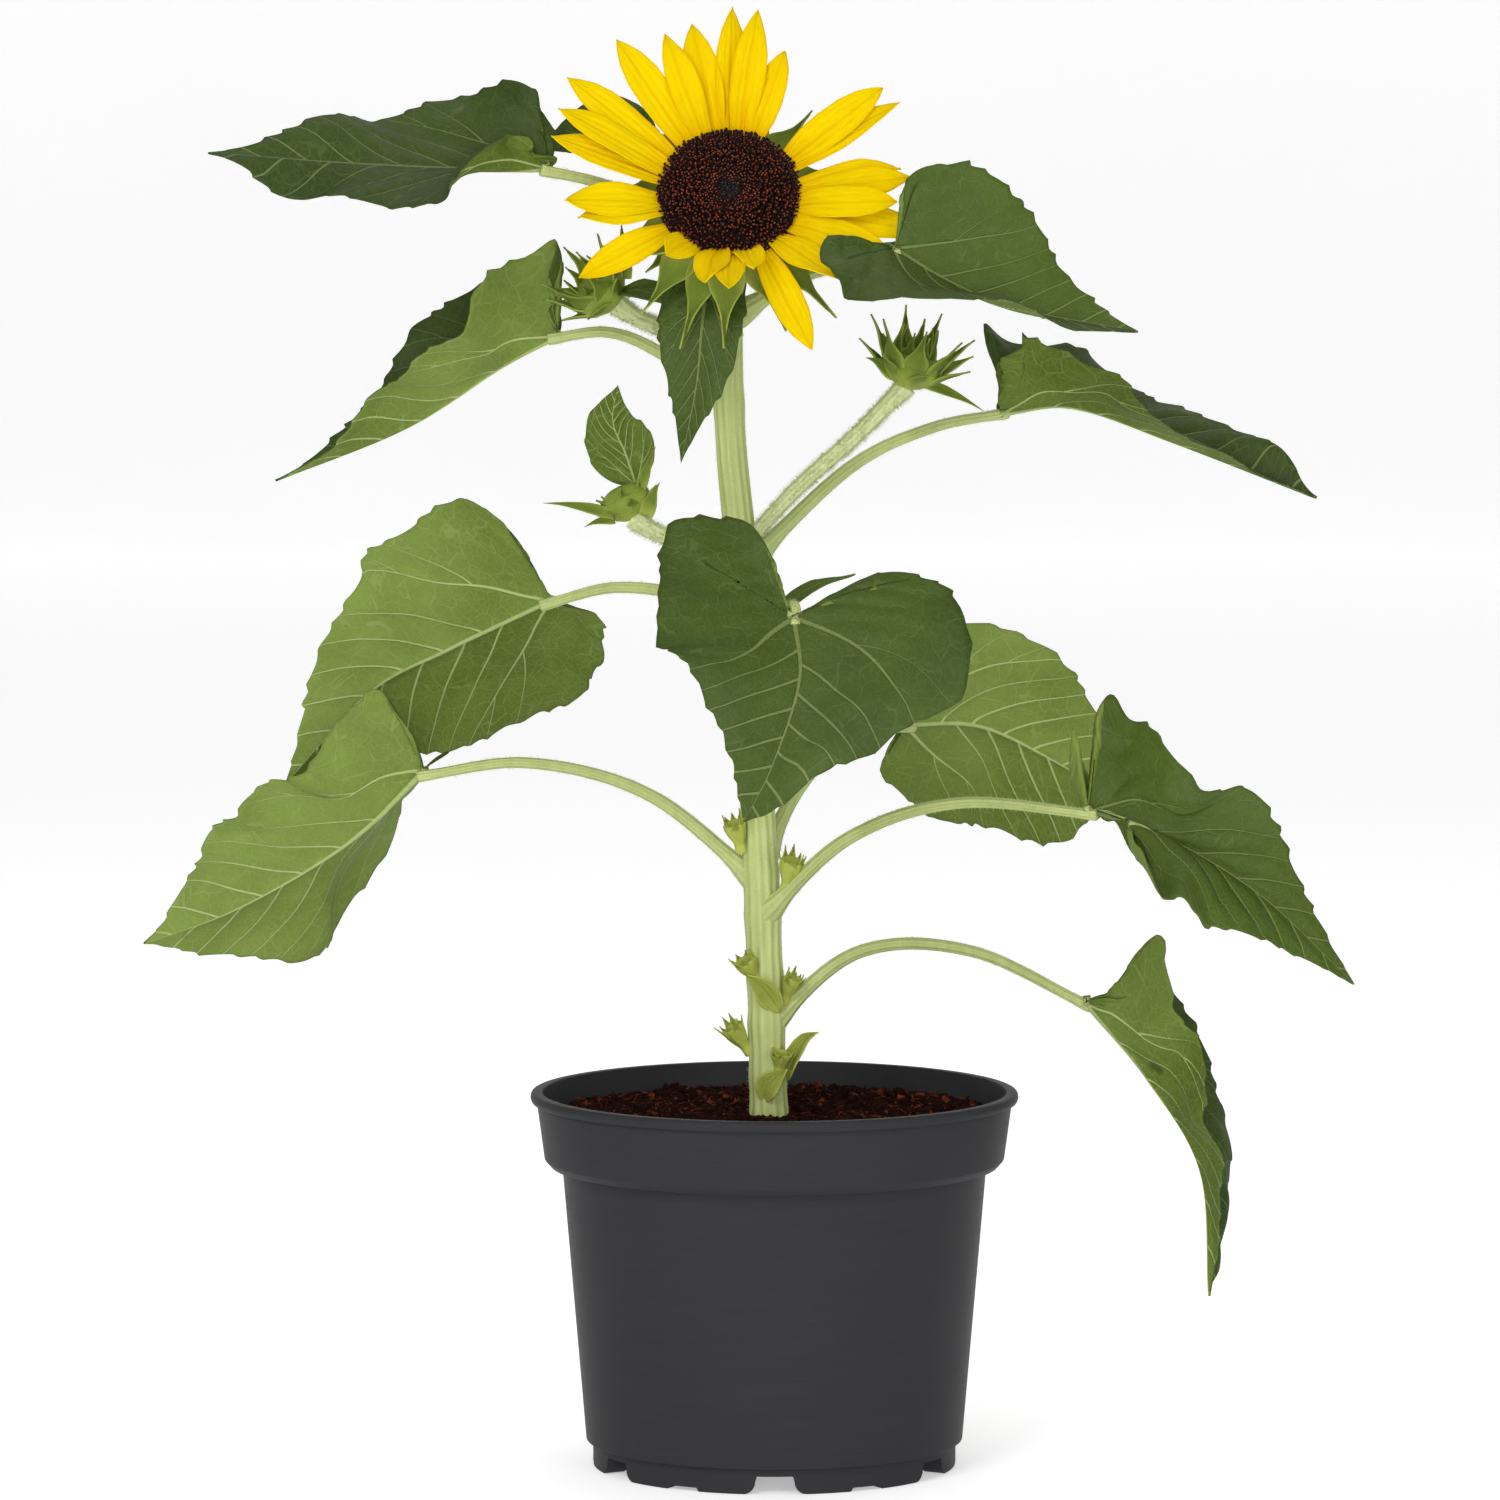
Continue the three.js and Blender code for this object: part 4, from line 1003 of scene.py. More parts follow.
def draw_chain(points):
    """A chain of vertices through points in metres, drawn by extruding the first one."""
    bpy.ops.mesh.primitive_plane_add(size=MM, location=points[0])
    bpy.ops.object.mode_set(mode="EDIT")
    bpy.ops.mesh.select_all(action="SELECT")
    bpy.ops.mesh.merge(type="CENTER")
    for start, end in zip(points, points[1:]):
        step = [b - a for a, b in zip(start, end)]
        bpy.ops.mesh.extrude_region_move(TRANSFORM_OT_translate={"value": step})
    bpy.ops.mesh.select_all(action="SELECT")


def spun(name, section, steps):
    """A shell turned about Z from a section of radius and height in millimetres."""
    deselect()
    draw_chain([(r * MM, 0, z * MM) for r, z in section])
    bpy.ops.mesh.spin(steps=steps, angle=TURN, center=(0, 0, 0), axis=(0, 0, 1))
    return settled(name, weld)


def skirt_cutter(width, height, lug_round, angle):
    """A block that cuts an opening with rounded lugs through the pot's foot."""
    arc = [
        (width / 2 + lug_round * (1 - math.sin(a)), lug_round * (1 - math.cos(a)))
        for a in np.linspace(0, QUARTER, 6)
    ]
    right = [(arc[0][0] + 1, -1)] + arc + [(width / 2 - 0.6, height)]
    outline = right + [(-x, z) for x, z in reversed(right)]
    deselect()
    draw_chain([(x * MM, -0.055, z * MM) for x, z in outline])
    bpy.ops.mesh.edge_face_add()
    bpy.ops.mesh.extrude_region_move(TRANSFORM_OT_translate={"value": (0, -0.02, 0)})
    block = settled("foot_cutter")
    block.rotation_euler = (0, 0, angle)
    bpy.ops.object.transform_apply(location=False, rotation=True, scale=False)
    return block


class SUNFLOWER_OT_pot(bpy.types.Operator):
    """Turns the pot from its section and cuts the openings of its foot"""

    bl_idname = "sunflower.pot"
    bl_label = "Pot"

    def execute(self, context):
        shell = spun("pot_shell", rounded(POT_SECTION), 180)
        cutters = []
        for i in range(6):
            cutters.append(skirt_cutter(width=15, height=7, lug_round=5, angle=math.radians(60 * i)))
            cutters.append(skirt_cutter(width=13, height=1.6, lug_round=1, angle=math.radians(60 * i + 30)))
        block = join("foot_cutters", cutters)
        cut = shell.modifiers.new("foot", "BOOLEAN")
        cut.object = block
        cut.solver = "EXACT"
        apply_modifiers(shell)
        bpy.data.objects.remove(block)
        finish_piece(shell, [shared("pot_plastic", pot_finish)], ["pot"], angle=32)
        return {"FINISHED"}


def soil_height(x, y):
    """Height of the soil's surface in metres at a place in metres."""
    away = ((x - 0.040) ** 2 + (y - 0.022) ** 2) / 0.022**2
    point = Vector((x, y, 0))
    rough = noise.fractal(point * 90, 1.0, 2.0, 4) * 0.0016
    rough += noise.fractal(point * 420, 1.0, 2.0, 3) * 0.0006
    edge = max(0, 1 - (0.0886 - math.hypot(x, y)) / 0.006)
    return (SOIL_LEVEL - 0.6) * MM + rough + 0.0042 * math.exp(-away) - 0.0012 * edge


def crumb(name, seed):
    """One uneven crumb about the origin, of unit radius."""
    deselect()
    bpy.ops.mesh.primitive_ico_sphere_add(subdivisions=1, radius=1, location=(0, 0, 0))
    piece = bpy.context.object
    piece.name = name
    rng = random_numbers(seed)
    for vertex in piece.data.vertices:
        vertex.co *= 0.72 + 0.5 * rng.random()
    return piece


def strewn_on_soil(rng, count):
    """Random places on the soil, clear of the stem."""
    radius = np.sqrt(rng.uniform(*(reach**2 for reach in SOIL_REACH), count))
    angle = rng.uniform(0, TURN, count)
    x, y = radius * np.cos(angle), radius * np.sin(angle)
    height = np.array([soil_height(a, b) for a, b in zip(x, y)])
    return np.stack([x, y, height], -1)


class SUNFLOWER_OT_soil(bpy.types.Operator):
    """Fills the pot with uneven soil, crumbs, clods and fibres"""

    bl_idname = "sunflower.soil"
    bl_label = "Soil"

    def execute(self, context):
        c = palette()
        inside = [(0, 9.7), (68.5, 9.7), (71.1, 12.3), (80.3, 119.8), (87.2, 121.8)]
        inside.append((88.7, SOIL_LEVEL - 1.4))
        top = [(r, SOIL_LEVEL) for r in np.linspace(88.2, 1.2, 76)] + [(0, SOIL_LEVEL)]
        bed = spun("soil_bed", inside + top, 220)
        for vertex in bed.data.vertices:
            if vertex.co.z > (SOIL_LEVEL - 0.5) * MM:
                vertex.co.z = soil_height(vertex.co.x, vertex.co.y)
        deep = tuple(v * 0.4 for v in c.soil)
        dark = shared("soil_dark", mottled, c.soil, deep, 260, 0.85, 0.0006, shine=0.04)
        fleck = shared("soil_fleck", mottled, c.soil_fleck, c.soil, 420, 0.85, 0.0004, shine=0.04)
        finish_piece(bed, [dark], ["soil"])

        rng = random_numbers(11)
        places = strewn_on_soil(rng, CRUMBS)
        radius = sizes().crumb * np.exp(rng.normal(-0.25, 0.5, CRUMBS)).clip(0.3, 2.3)
        clod_places, clod_radius = [], []
        for x, y, size in CLODS:
            for _ in range(16):
                dx, dy = rng.normal(0, size * 0.75 * MM, 2)
                lift = rng.uniform(0, size * 0.9) * MM * math.exp(-(dx**2 + dy**2) / (size * MM) ** 2)
                px, py = x * MM + dx, y * MM + dy
                clod_places.append((px, py, soil_height(px, py) + lift))
                clod_radius.append(rng.uniform(0.25, 0.5) * size * MM)
        places = np.vstack([places, clod_places])
        radius = np.concatenate([radius, clod_radius])
        total = len(places)
        turns = aim_frames(rng.normal(0, 1, (total, 3)), rng.uniform(0, 6.28, total))
        stretch = rng.uniform(0.65, 1.35, (total, 1, 3)) * radius[:, None, None]
        kinds = (rng.random(total) < 0.09).astype(int)
        crumbs = strew(crumb("crumb", 5), "soil_crumbs", turns * stretch, places, kinds)
        finish_piece(crumbs, [dark, fleck], angle=45)

        places = strewn_on_soil(rng, FIBRES)
        places[:, 2] += 0.0006
        lean = np.column_stack([rng.normal(0, 1, (FIBRES, 2)), rng.normal(0, 0.28, FIBRES)])
        size = np.empty((FIBRES, 1, 3))
        size[:, 0, :2] = rng.uniform(0.00012, 0.0004, (FIBRES, 1))
        size[:, 0, 2] = rng.uniform(0.0015, 0.0048, FIBRES)
        turns = aim_frames(lean, rng.uniform(0, 6.28, FIBRES)) * size
        kinds = (rng.random(FIBRES) < 0.5).astype(int)
        fibres = strew(crumb("fibre", 6), "soil_fibres", turns, places, kinds)
        finish_piece(fibres, [dark, fleck], angle=45)
        return {"FINISHED"}


# ---------------------------------------------------------------- stem and stalks

# small scars and swellings on the stem: height in metres, angle round it in degrees, size in metres
SCARS = [
    (0.186, 100, 0.0022), (0.188, 60, 0.0022), (0.1905, 82, 0.0026), (0.213, 120, 0.0022),
    (0.418, 160, 0.0030),
]
# heights in metres where a leaf or bud springs from the stem
NODES = (0.152, 0.172, 0.191, 0.214, 0.231, 0.276, 0.312, 0.352, 0.413, 0.448, 0.468)


def stem_course():
    return Course(STEM_COURSE)


def stem_radius(share, angle):
    course = stem_course()
    height = course.at(share)[..., 2]
    foot, top = (r * MM for r in STEM_RADII)
    girth = foot + (top - foot) * share
    girth = girth * (1 + 0.07 * np.exp(-(((height - 0.1375) / 0.006) ** 2)))
    for node in NODES:
        girth = girth * (1 + 0.06 * np.exp(-(((height - node) / 0.005) ** 2)))
    girth = girth * (1 + 0.028 * np.cos(12 * angle + 1.5 * np.sin(18 * share)))
    for at, turn, size in SCARS:
        round_by = np.angle(np.exp(1j * (angle - math.radians(turn)))) * 0.007
        away = np.sqrt(round_by**2 + ((height - at) * 1.5) ** 2)
        girth = girth + 0.0007 * np.exp(-(((away - size) / 0.0008) ** 2))
        girth = girth - 0.0003 * np.exp(-((away / size) ** 2))
    return girth


class SUNFLOWER_OT_stem(bpy.types.Operator):
    """Grows the ribbed stem from the soil to the back of the bloom"""

    bl_idname = "sunflower.stem"
    bl_label = "Stem"

    def execute(self, context):
        stem = limb("stem_ribbed", stem_course(), stem_radius, 420, 96)
        finish_piece(stem, [shared("stem_skin", stalk_finish)], ["stem"])
        return {"FINISHED"}


def stalked():
    """The leaves that have a stalk of their own."""
    return [(name, shape) for name, shape in LEAVES.items() if "stalk" in shape]


def stalk_course(shape):
    """A petiole's course, up to the underside of its leaf."""
    leaf = Leaf(shape)
    girth = shape.get("girth", STALK_GIRTH)[1]
    point, normal = leaf.bent(np.array([3 * MM]), np.array([0.0]))
    end = (point[0] - normal[0] * girth * 0.8 * MM) / MM
    return Course(shape["stalk"] + [tuple(end)])


def stalk_radius(course, foot, top):
    """Girth of a stalk that clasps the stem at its foot and has a channel along its top."""
    def radius(share, angle):
        far = share * course.length
        girth = (foot + (top - foot) * share) * MM
        clasp = STALK_FLARE * np.exp(-((far / 0.011) ** 2))
        girth = girth * (1 + clasp + 0.22 * np.exp(-(((course.length - far) / 0.006) ** 2)))
        side, other = course.across(share + 0 * angle)
        facing = side[..., 2] * np.cos(angle) + other[..., 2] * np.sin(angle)
        girth = girth * (1 - STALK_CHANNEL * smooth((facing - 0.55) / 0.45))
        return girth * (1 + 0.022 * np.cos(9 * angle))
    return radius


class SUNFLOWER_OT_petioles(bpy.types.Operator):
    """Grows a channelled stalk from the stem to each leaf"""

    bl_idname = "sunflower.petioles"
    bl_label = "Leaf stalks"

    def execute(self, context):
        for name, shape in stalked():
            course = stalk_course(shape)
            girth = shape.get("girth", STALK_GIRTH)
            piece = limb(f"stalk_{name}", course, stalk_radius(course, *girth), 110, 40)
            ends = ("_inner", "_outer") if name in SPLIT_STALKS else ("",)
            nodes = [f"petiole_{name}{end}" for end in ends]
            material = shared("stalk_skin", stalk_finish, ribs=9, green=0.12)
            finish_piece(piece, [material], nodes)
        return {"FINISHED"}


# ---------------------------------------------------------------- leaves

def leaf_rows(leaf, count):
    """Margin shares that lie evenly along both margins, and how far each is along each margin."""
    share = np.linspace(0, 1, 1200)
    far = []
    for side in (1, -1):
        x, y = leaf.flat(share, np.full_like(share, side))
        steps = np.hypot(np.diff(x), np.diff(y))
        far.append(np.concatenate([[0], np.cumsum(steps)]))
    both = far[0] + far[1]
    rows = np.interp(np.linspace(0, both[-1], count), both, share)
    return rows, [np.interp(rows, share, one) for one in far]


def teeth(far, rng):
    """How far the margin stands out, 0 to 1, for distances along it: slow rises and quick falls."""
    count = far / sizes().tooth_pitch
    uneven = count + 0.22 * np.sin(count * 2.3 + rng.uniform(0, 6)) + rng.uniform(0, 1)
    part = uneven % 1
    rise = np.where(part < 0.74, (part / 0.74) ** 1.7, ((1 - part) / 0.26) ** 1.2)
    heights = rng.uniform(0.55, 1.15, int(uneven.max()) + 2)
    ends = smooth(far / 0.02) * smooth((far.max() - far) / 0.03)
    return rise * heights[uneven.astype(int)] * (0.25 + 0.75 * ends) * smooth((far.max() - far) / 0.01)


def leaf_piece(name, shape, seed):
    """A leaf: a grid bent to its course, toothed, quilted between its veins and given thickness."""
    leaf = Leaf(shape)
    rng = random_numbers(seed)
    length = leaf.rib.length
    rows, far = leaf_rows(leaf, int(np.clip(length * 900, 70, 140)))
    steps = np.linspace(-1, 1, 57 if length > 0.08 else 33)
    columns = np.sign(steps) * np.abs(steps) ** 1.3
    share, out = np.broadcast_arrays(rows[:, None], columns[None, :])
    x, y = leaf.flat(share, out)
    reach = np.hypot(np.gradient(x, columns, axis=1), np.gradient(y, columns, axis=1))

    margin = [teeth(one, rng)[:, None] for one in far]
    tooth = np.where(out < 0, margin[1], margin[0])
    near = smooth((np.abs(out) - TEETH_FROM) / (1 - TEETH_FROM))
    growth = min(1, length / FULL_LEAF)
    stand = sizes().tooth_depth * growth * tooth * near / np.maximum(reach, 0.004)
    tx, ty = leaf.flat(share, out * (1 + stand))
    points, normals = leaf.bent(tx, ty)
    points = points + pulled(shape, share, out)

    span = VEIN_SPAN * leaf.half.mean()
    ax, ay = x / length, np.abs(y) / span
    rooted = ax - ay * VEIN_SLOPE - ay**2 * VEIN_CURVE
    station = np.maximum((rooted - VEIN_FIRST) / VEIN_PITCH + np.where(y < 0, 0.5, 0), 0)
    fork = (ay + rooted * BRANCH_LEAN) / BRANCH_PITCH - 0.4
    bulge = np.sqrt(np.abs(np.sin(np.pi * np.where(rooted > 0, station, fork))))
    bulge = bulge * (1 - np.exp(-((rooted * length / 0.003) ** 2))) * (1 - np.exp(-((y / 0.003) ** 2)))
    bulge = bulge * smooth((1 - share) * 4) * smooth((1 - np.abs(out)) * 3.5)
    phase = rng.uniform(0, 6.28, 2)
    along = np.where(out < 0, far[1][:, None], far[0][:, None])
    wave = np.sin(along / RIPPLE_PITCH + np.where(out < 0, *phase)) * out**4 * smooth((1 - share) * 3)
    relief = shape.get("quilt", 1.0) * sizes().quilt * bulge + RIPPLE * wave * growth
    points = points + normals * relief[..., None]

    flat = np.stack([x, y], -1)
    maps = {"veins": flat / (length, span), "flat": flat + seed * 0.37}
    piece, row, column = draped_grid(name, points, maps)
    midrib = sizes().midrib * (1 - 0.8 * share) * growth
    thick = sizes().blade + midrib * np.exp(-((y / MIDRIB_REACH) ** 2))
    weights = (thick / thick.max())[row, column]
    group = piece.vertex_groups.new(name="thickness")
    for i, weight in enumerate(weights):
        group.add([i], float(weight), "REPLACE")
    # each half's tone is partly the leaf's own tone and partly painted shade and painted light on that half
    tone = np.where(out < 0, *shape.get("tone", (0.45, 0.45))[::-1])
    for label, value in (("tone", tone), ("length", length), ("span", span)):
        layer = piece.data.attributes.new(label, "FLOAT", "POINT")
        layer.data.foreach_set("value", (value + 0 * out)[row, column].astype(np.float32))
    in_edit(weld)
    for build in (leaf_upper, leaf_under):
        piece.data.materials.append(shared(build.__name__, build))
    wall = piece.modifiers.new("blade", "SOLIDIFY")
    wall.thickness = thick.max()
    wall.offset = -1
    wall.vertex_group = group.name
    wall.material_offset = 1
    wall.use_quality_normals = False
    apply_modifiers(piece)
    return piece


class SUNFLOWER_OT_leaves(bpy.types.Operator):
    """Drapes every leaf over its rib, with teeth, veins and quilting"""

    bl_idname = "sunflower.leaves"
    bl_label = "Leaves"

    def execute(self, context):
        for seed, (name, shape) in enumerate(LEAVES.items(), 20):
            piece = leaf_piece(f"blade_{name}", shape, seed)
            finish_piece(piece, (), [f"leaf_{name}"])
        return {"FINISHED"}


def strap_piece(name, rib, up, half, kind, rows=26, columns=11, thickness=0.0006, **shape):
    """A narrow blade along a rib, with its thickness."""
    points, turns = strap(rib, up, half, rows, columns, kind, **shape)
    piece, _, _ = draped_grid(name, points, {"blade": turns})
    in_edit(weld)
    wall = piece.modifiers.new("blade", "SOLIDIFY")
    wall.thickness = thickness
    wall.offset = 0
    apply_modifiers(piece)
    return piece


class SUNFLOWER_OT_narrow_leaves(bpy.types.Operator):
    """Makes the narrow scales low on the stem"""

    bl_idname = "sunflower.narrow_leaves"
    bl_label = "Narrow leaves and scales"

    def execute(self, context):
        half = SCALE_HALF * MM
        for i, (node, (rib, up)) in enumerate(SCALES.items()):
            piece = strap_piece(
                f"strap_{node}", Course(rib), up, half, "leaf", 60, 21,
                fold=20, wave=half * 0.08, phase=i, groove=half * 0.03, grooves=5,
            )
            finish_piece(piece, [shared("bract_pale", bract_finish, PALE_BRACT)], [node])
        return {"FINISHED"}


# ---------------------------------------------------------------- the bloom

def bloom_frame():
    lean = math.radians(90 - BLOOM_TILT)
    turn = np.array([
        (1, 0, 0), (0, math.cos(lean), -math.sin(lean)), (0, math.sin(lean), math.cos(lean)),
    ])
    return turn, np.array(BLOOM_CENTRE) * MM


def bud_frame(bud):
    turn = aim_frames([bud["aim"]], np.zeros(1))[0]
    return turn, np.array(bud["base"], float) * MM


def ray(frame_of, azimuth, pitch, length, root, height, rise):
    """Course and upward direction of a blade that springs from a ring round an axis."""
    turn, place = frame_of
    a, b = math.radians(azimuth), math.radians(pitch)
    outward_way = np.array((math.cos(a), math.sin(a), 0))
    points = []
    for share in (0, 0.35, 0.7, 1):
        lift = math.sin(b) * length * share + rise * math.sin(math.pi * share)
        flat = outward_way * (root + math.cos(b) * length * share)
        points.append(turn @ np.array((flat[0], flat[1], height + lift)) + place / MM)
    up = turn @ np.array((-outward_way[0] * math.sin(b), -outward_way[1] * math.sin(b), math.cos(b)))
    return Course(points), up


def turned_piece(name, frame_of, section, sides, ribs=0, depth=0.0):
    """A closed shape turned about a frame's axis from radius and height in millimetres, with ribs."""
    turn, place = frame_of
    section = spline(section, 6) * MM
    angle = np.linspace(0, TURN, sides + 1)[None, :]
    radius = np.maximum(section[:, :1], 0) * (1 + depth * np.cos(ribs * angle))
    radius[[0, -1]] = 0
    about = np.stack([radius * np.cos(angle), radius * np.sin(angle), section[:, 1:] + 0 * angle], -1)
    turns = np.stack([np.linspace(0, 0.4, len(section))[:, None] + 0 * angle, 0 * radius + 0.3], -1)
    piece, _, _ = draped_grid(name, about @ turn.T + place, {"blade": turns})
    in_edit(weld, outward)
    return piece


class SUNFLOWER_OT_petals(bpy.types.Operator):
    """Sets the grooved ray petals round the disc"""

    bl_idname = "sunflower.petals"
    bl_label = "Ray petals"

    def execute(self, context):
        rng = random_numbers(3)
        pieces = []
        for i, (azimuth, pitch, length) in enumerate(PETALS):
            root = ray(bloom_frame(), azimuth, pitch, length, RAY_ROOT, -2.8 + 0.5 * (i % 3), 1.5)
            half = rng.uniform(6.2, 7.4) * MM
            pieces.append(strap_piece(
                f"petal_{i}", *root, half, "petal", 40, 17, 0.00045, fold=rng.uniform(3, 13),
                wave=rng.uniform(0.0003, 0.0010), phase=rng.uniform(0, 6), groove=0.00028, grooves=5,
                twist=rng.uniform(-24, 24),
            ))
        petals = join("petals", pieces)
        finish_piece(petals, [shared("petal_blade", petal_finish)], ["bloom_petals"])
        return {"FINISHED"}


def stacked(name, sides, rings):
    """A closed piece about +Z made by extruding a polygon from ring to ring of radius and height."""
    deselect()
    radius, height = rings[0]
    bpy.ops.mesh.primitive_circle_add(
        vertices=sides, radius=radius, fill_type="NGON", location=(0, 0, height),
    )
    bpy.ops.object.mode_set(mode="EDIT")
    bpy.ops.mesh.select_all(action="SELECT")
    for next_radius, next_height in rings[1:]:
        bpy.ops.mesh.extrude_region_move(TRANSFORM_OT_translate={"value": (0, 0, next_height - height)})
        bpy.ops.transform.resize(value=(next_radius / radius, next_radius / radius, 1))
        radius, height = next_radius, next_height
    return settled(name)


def disc_height(share):
    """Height of the disc in millimetres over its back, by share of its radius."""
    dome = DISC_DOME * np.sqrt(np.maximum(1 - share**2, 0)) * 0.75
    return dome - 2.0 * np.exp(-((share / 0.17) ** 2)) - 1.2


class SUNFLOWER_OT_disc(bpy.types.Operator):
    """Packs the disc with florets in spirals"""

    bl_idname = "sunflower.disc"
    bl_label = "Disc"

    def execute(self, context):
        c = palette()
        share = np.linspace(1, 0, 14)
        section = [(0, -DISC_BACK), (DISC_RADIUS - 2, -DISC_BACK)]
        section += list(zip(share * (DISC_RADIUS - 1.5), disc_height(share * 0.97)))
        base = turned_piece("disc_base", bloom_frame(), section, 64)
        dark = shared("disc_dark", mottled, c.disc, c.disc_heart, 300, 0.8, 0.0005)
        tip = shared("disc_tip", mottled, c.disc_tip, c.disc, 500, 0.7, 0.0003)
        heart = shared("disc_heart", mottled, c.disc_heart, HEART_SPECK, 900, 0.75, 0.0003)
        finish_piece(base, [dark], ["bloom_disc"])

        rings = [(0.35, 0), (0.62, 0.5), (0.5, 0.72), (0.8, 0.9), (0.5, 1.0), (0.1, 0.9)]
        floret = stacked("floret", 6, rings)
        for face in floret.data.polygons:
            face.material_index = 1 if face.center.z > 0.93 and face.center.xy.length < 0.45 else 0
        rng = random_numbers(8)
        i = np.arange(FLORETS)
        share = np.sqrt((i + 0.5) / FLORETS)
        angle = i * math.radians(GOLDEN_ANGLE)
        radius = share * (DISC_RADIUS - 3)
        open_one = smooth((share - 0.3) / 0.25)
        tall = (1.9 + 2.3 * open_one + 0.6 * rng.normal(0, 0.5, FLORETS)).clip(1.2, 6)
        width = 0.56 + 0.16 * open_one + 0.05 * rng.normal(0, 1, FLORETS)
        lean = np.radians(62) * share**3 + 0.1 * rng.normal(0, 1, FLORETS)
        ways = np.stack([np.cos(angle) * np.sin(lean), np.sin(angle) * np.sin(lean), np.cos(lean)], -1)
        ways = ways + rng.normal(0, 0.06, (FLORETS, 3))
        places = [radius * np.cos(angle), radius * np.sin(angle), disc_height(share) - 0.3]
        places = np.stack(places, -1) * MM
        frames = aim_frames(ways, rng.uniform(0, 6.28, FLORETS))
        frames = frames * (np.stack([width, width, tall], -1) * MM)[:, None, :]
        turn, place = bloom_frame()
        # open florets have pale tips, the others are dark, and those in the heart are blackest
        open_kind, dark_kind, heart_kind = 0, 2, 4
        opened = rng.random(FLORETS) < 0.85 * smooth((share - 0.14) / 0.1)
        kinds = np.where(share < 0.16, heart_kind, np.where(opened, open_kind, dark_kind))
        florets = strew(floret, "florets", turn @ frames, places @ turn.T + place, kinds)
        finish_piece(florets, [dark, tip, dark, dark, heart, heart], angle=50)
        return {"FINISHED"}


def bract_ring(name, frame_of, blades, root, height, half, rise, rng, kind="bract", thickness=0.0007):
    """Bracts round an axis, each a direction, pitch and length, from a ring's radius and height."""
    pieces = []
    for i, (azimuth, pitch, length) in enumerate(blades):
        course, up = ray(frame_of, azimuth, pitch, length, root, height, rise)
        pieces.append(strap_piece(
            f"{name}_{i}", course, up, half * MM * rng.uniform(0.88, 1.12), kind, 26, 11, thickness,
            fold=rng.uniform(10, 22), wave=half * 0.05 * MM, phase=rng.uniform(0, 6),
            groove=half * 0.03 * MM, grooves=5, twist=rng.uniform(-12, 12),
        ))
    return pieces


class SUNFLOWER_OT_calyx(bpy.types.Operator):
    """Makes the green cup behind the bloom with its rows of bracts"""

    bl_idname = "sunflower.calyx"
    bl_label = "Calyx"

    def execute(self, context):
        rng = random_numbers(17)
        where = bloom_frame()
        section = [(0, -21), (7.4, -21), (9, -18), (12.6, -14.4), (20, -9.6), (25, -6.6), (26, -4.2)]
        section.append((0, -4))
        pieces = [turned_piece("calyx_cup", where, section, 60, 15, 0.02)]
        pieces += bract_ring("bract", where, BRACTS, RAY_ROOT, -6.3, 7.6, -1.5, rng, "awned")
        second = [(a + 11 + rng.uniform(-4, 4), p - 14, 20 + rng.uniform(0, 4)) for a, p, _ in BRACTS]
        pieces += bract_ring("back_bract", where, second, 18, -9.5, 5.2, -1, rng)
        third = [(i * 30 + rng.uniform(-6, 6), -34, 13 + rng.uniform(0, 3)) for i in range(12)]
        pieces += bract_ring("low_bract", where, third, 13, -13, 4.2, -0.6, rng)
        calyx = join("calyx", pieces)
        finish_piece(calyx, [shared("bract_blade", bract_finish)], ["bloom_calyx"])
        return {"FINISHED"}


# ---------------------------------------------------------------- buds

def bud_course(bud):
    return Course(bud["stalk"] + [bud["base"]])


def bud_radius(bud):
    course = bud_course(bud)
    foot, top = bud["girth"]
    def radius(share, angle):
        swell = np.exp(-(((1 - share) * course.length / 0.006) ** 2))
        return (foot + (top - foot) * share**2) * MM * (1 + 0.3 * swell + 0.03 * np.cos(8 * angle))
    return radius


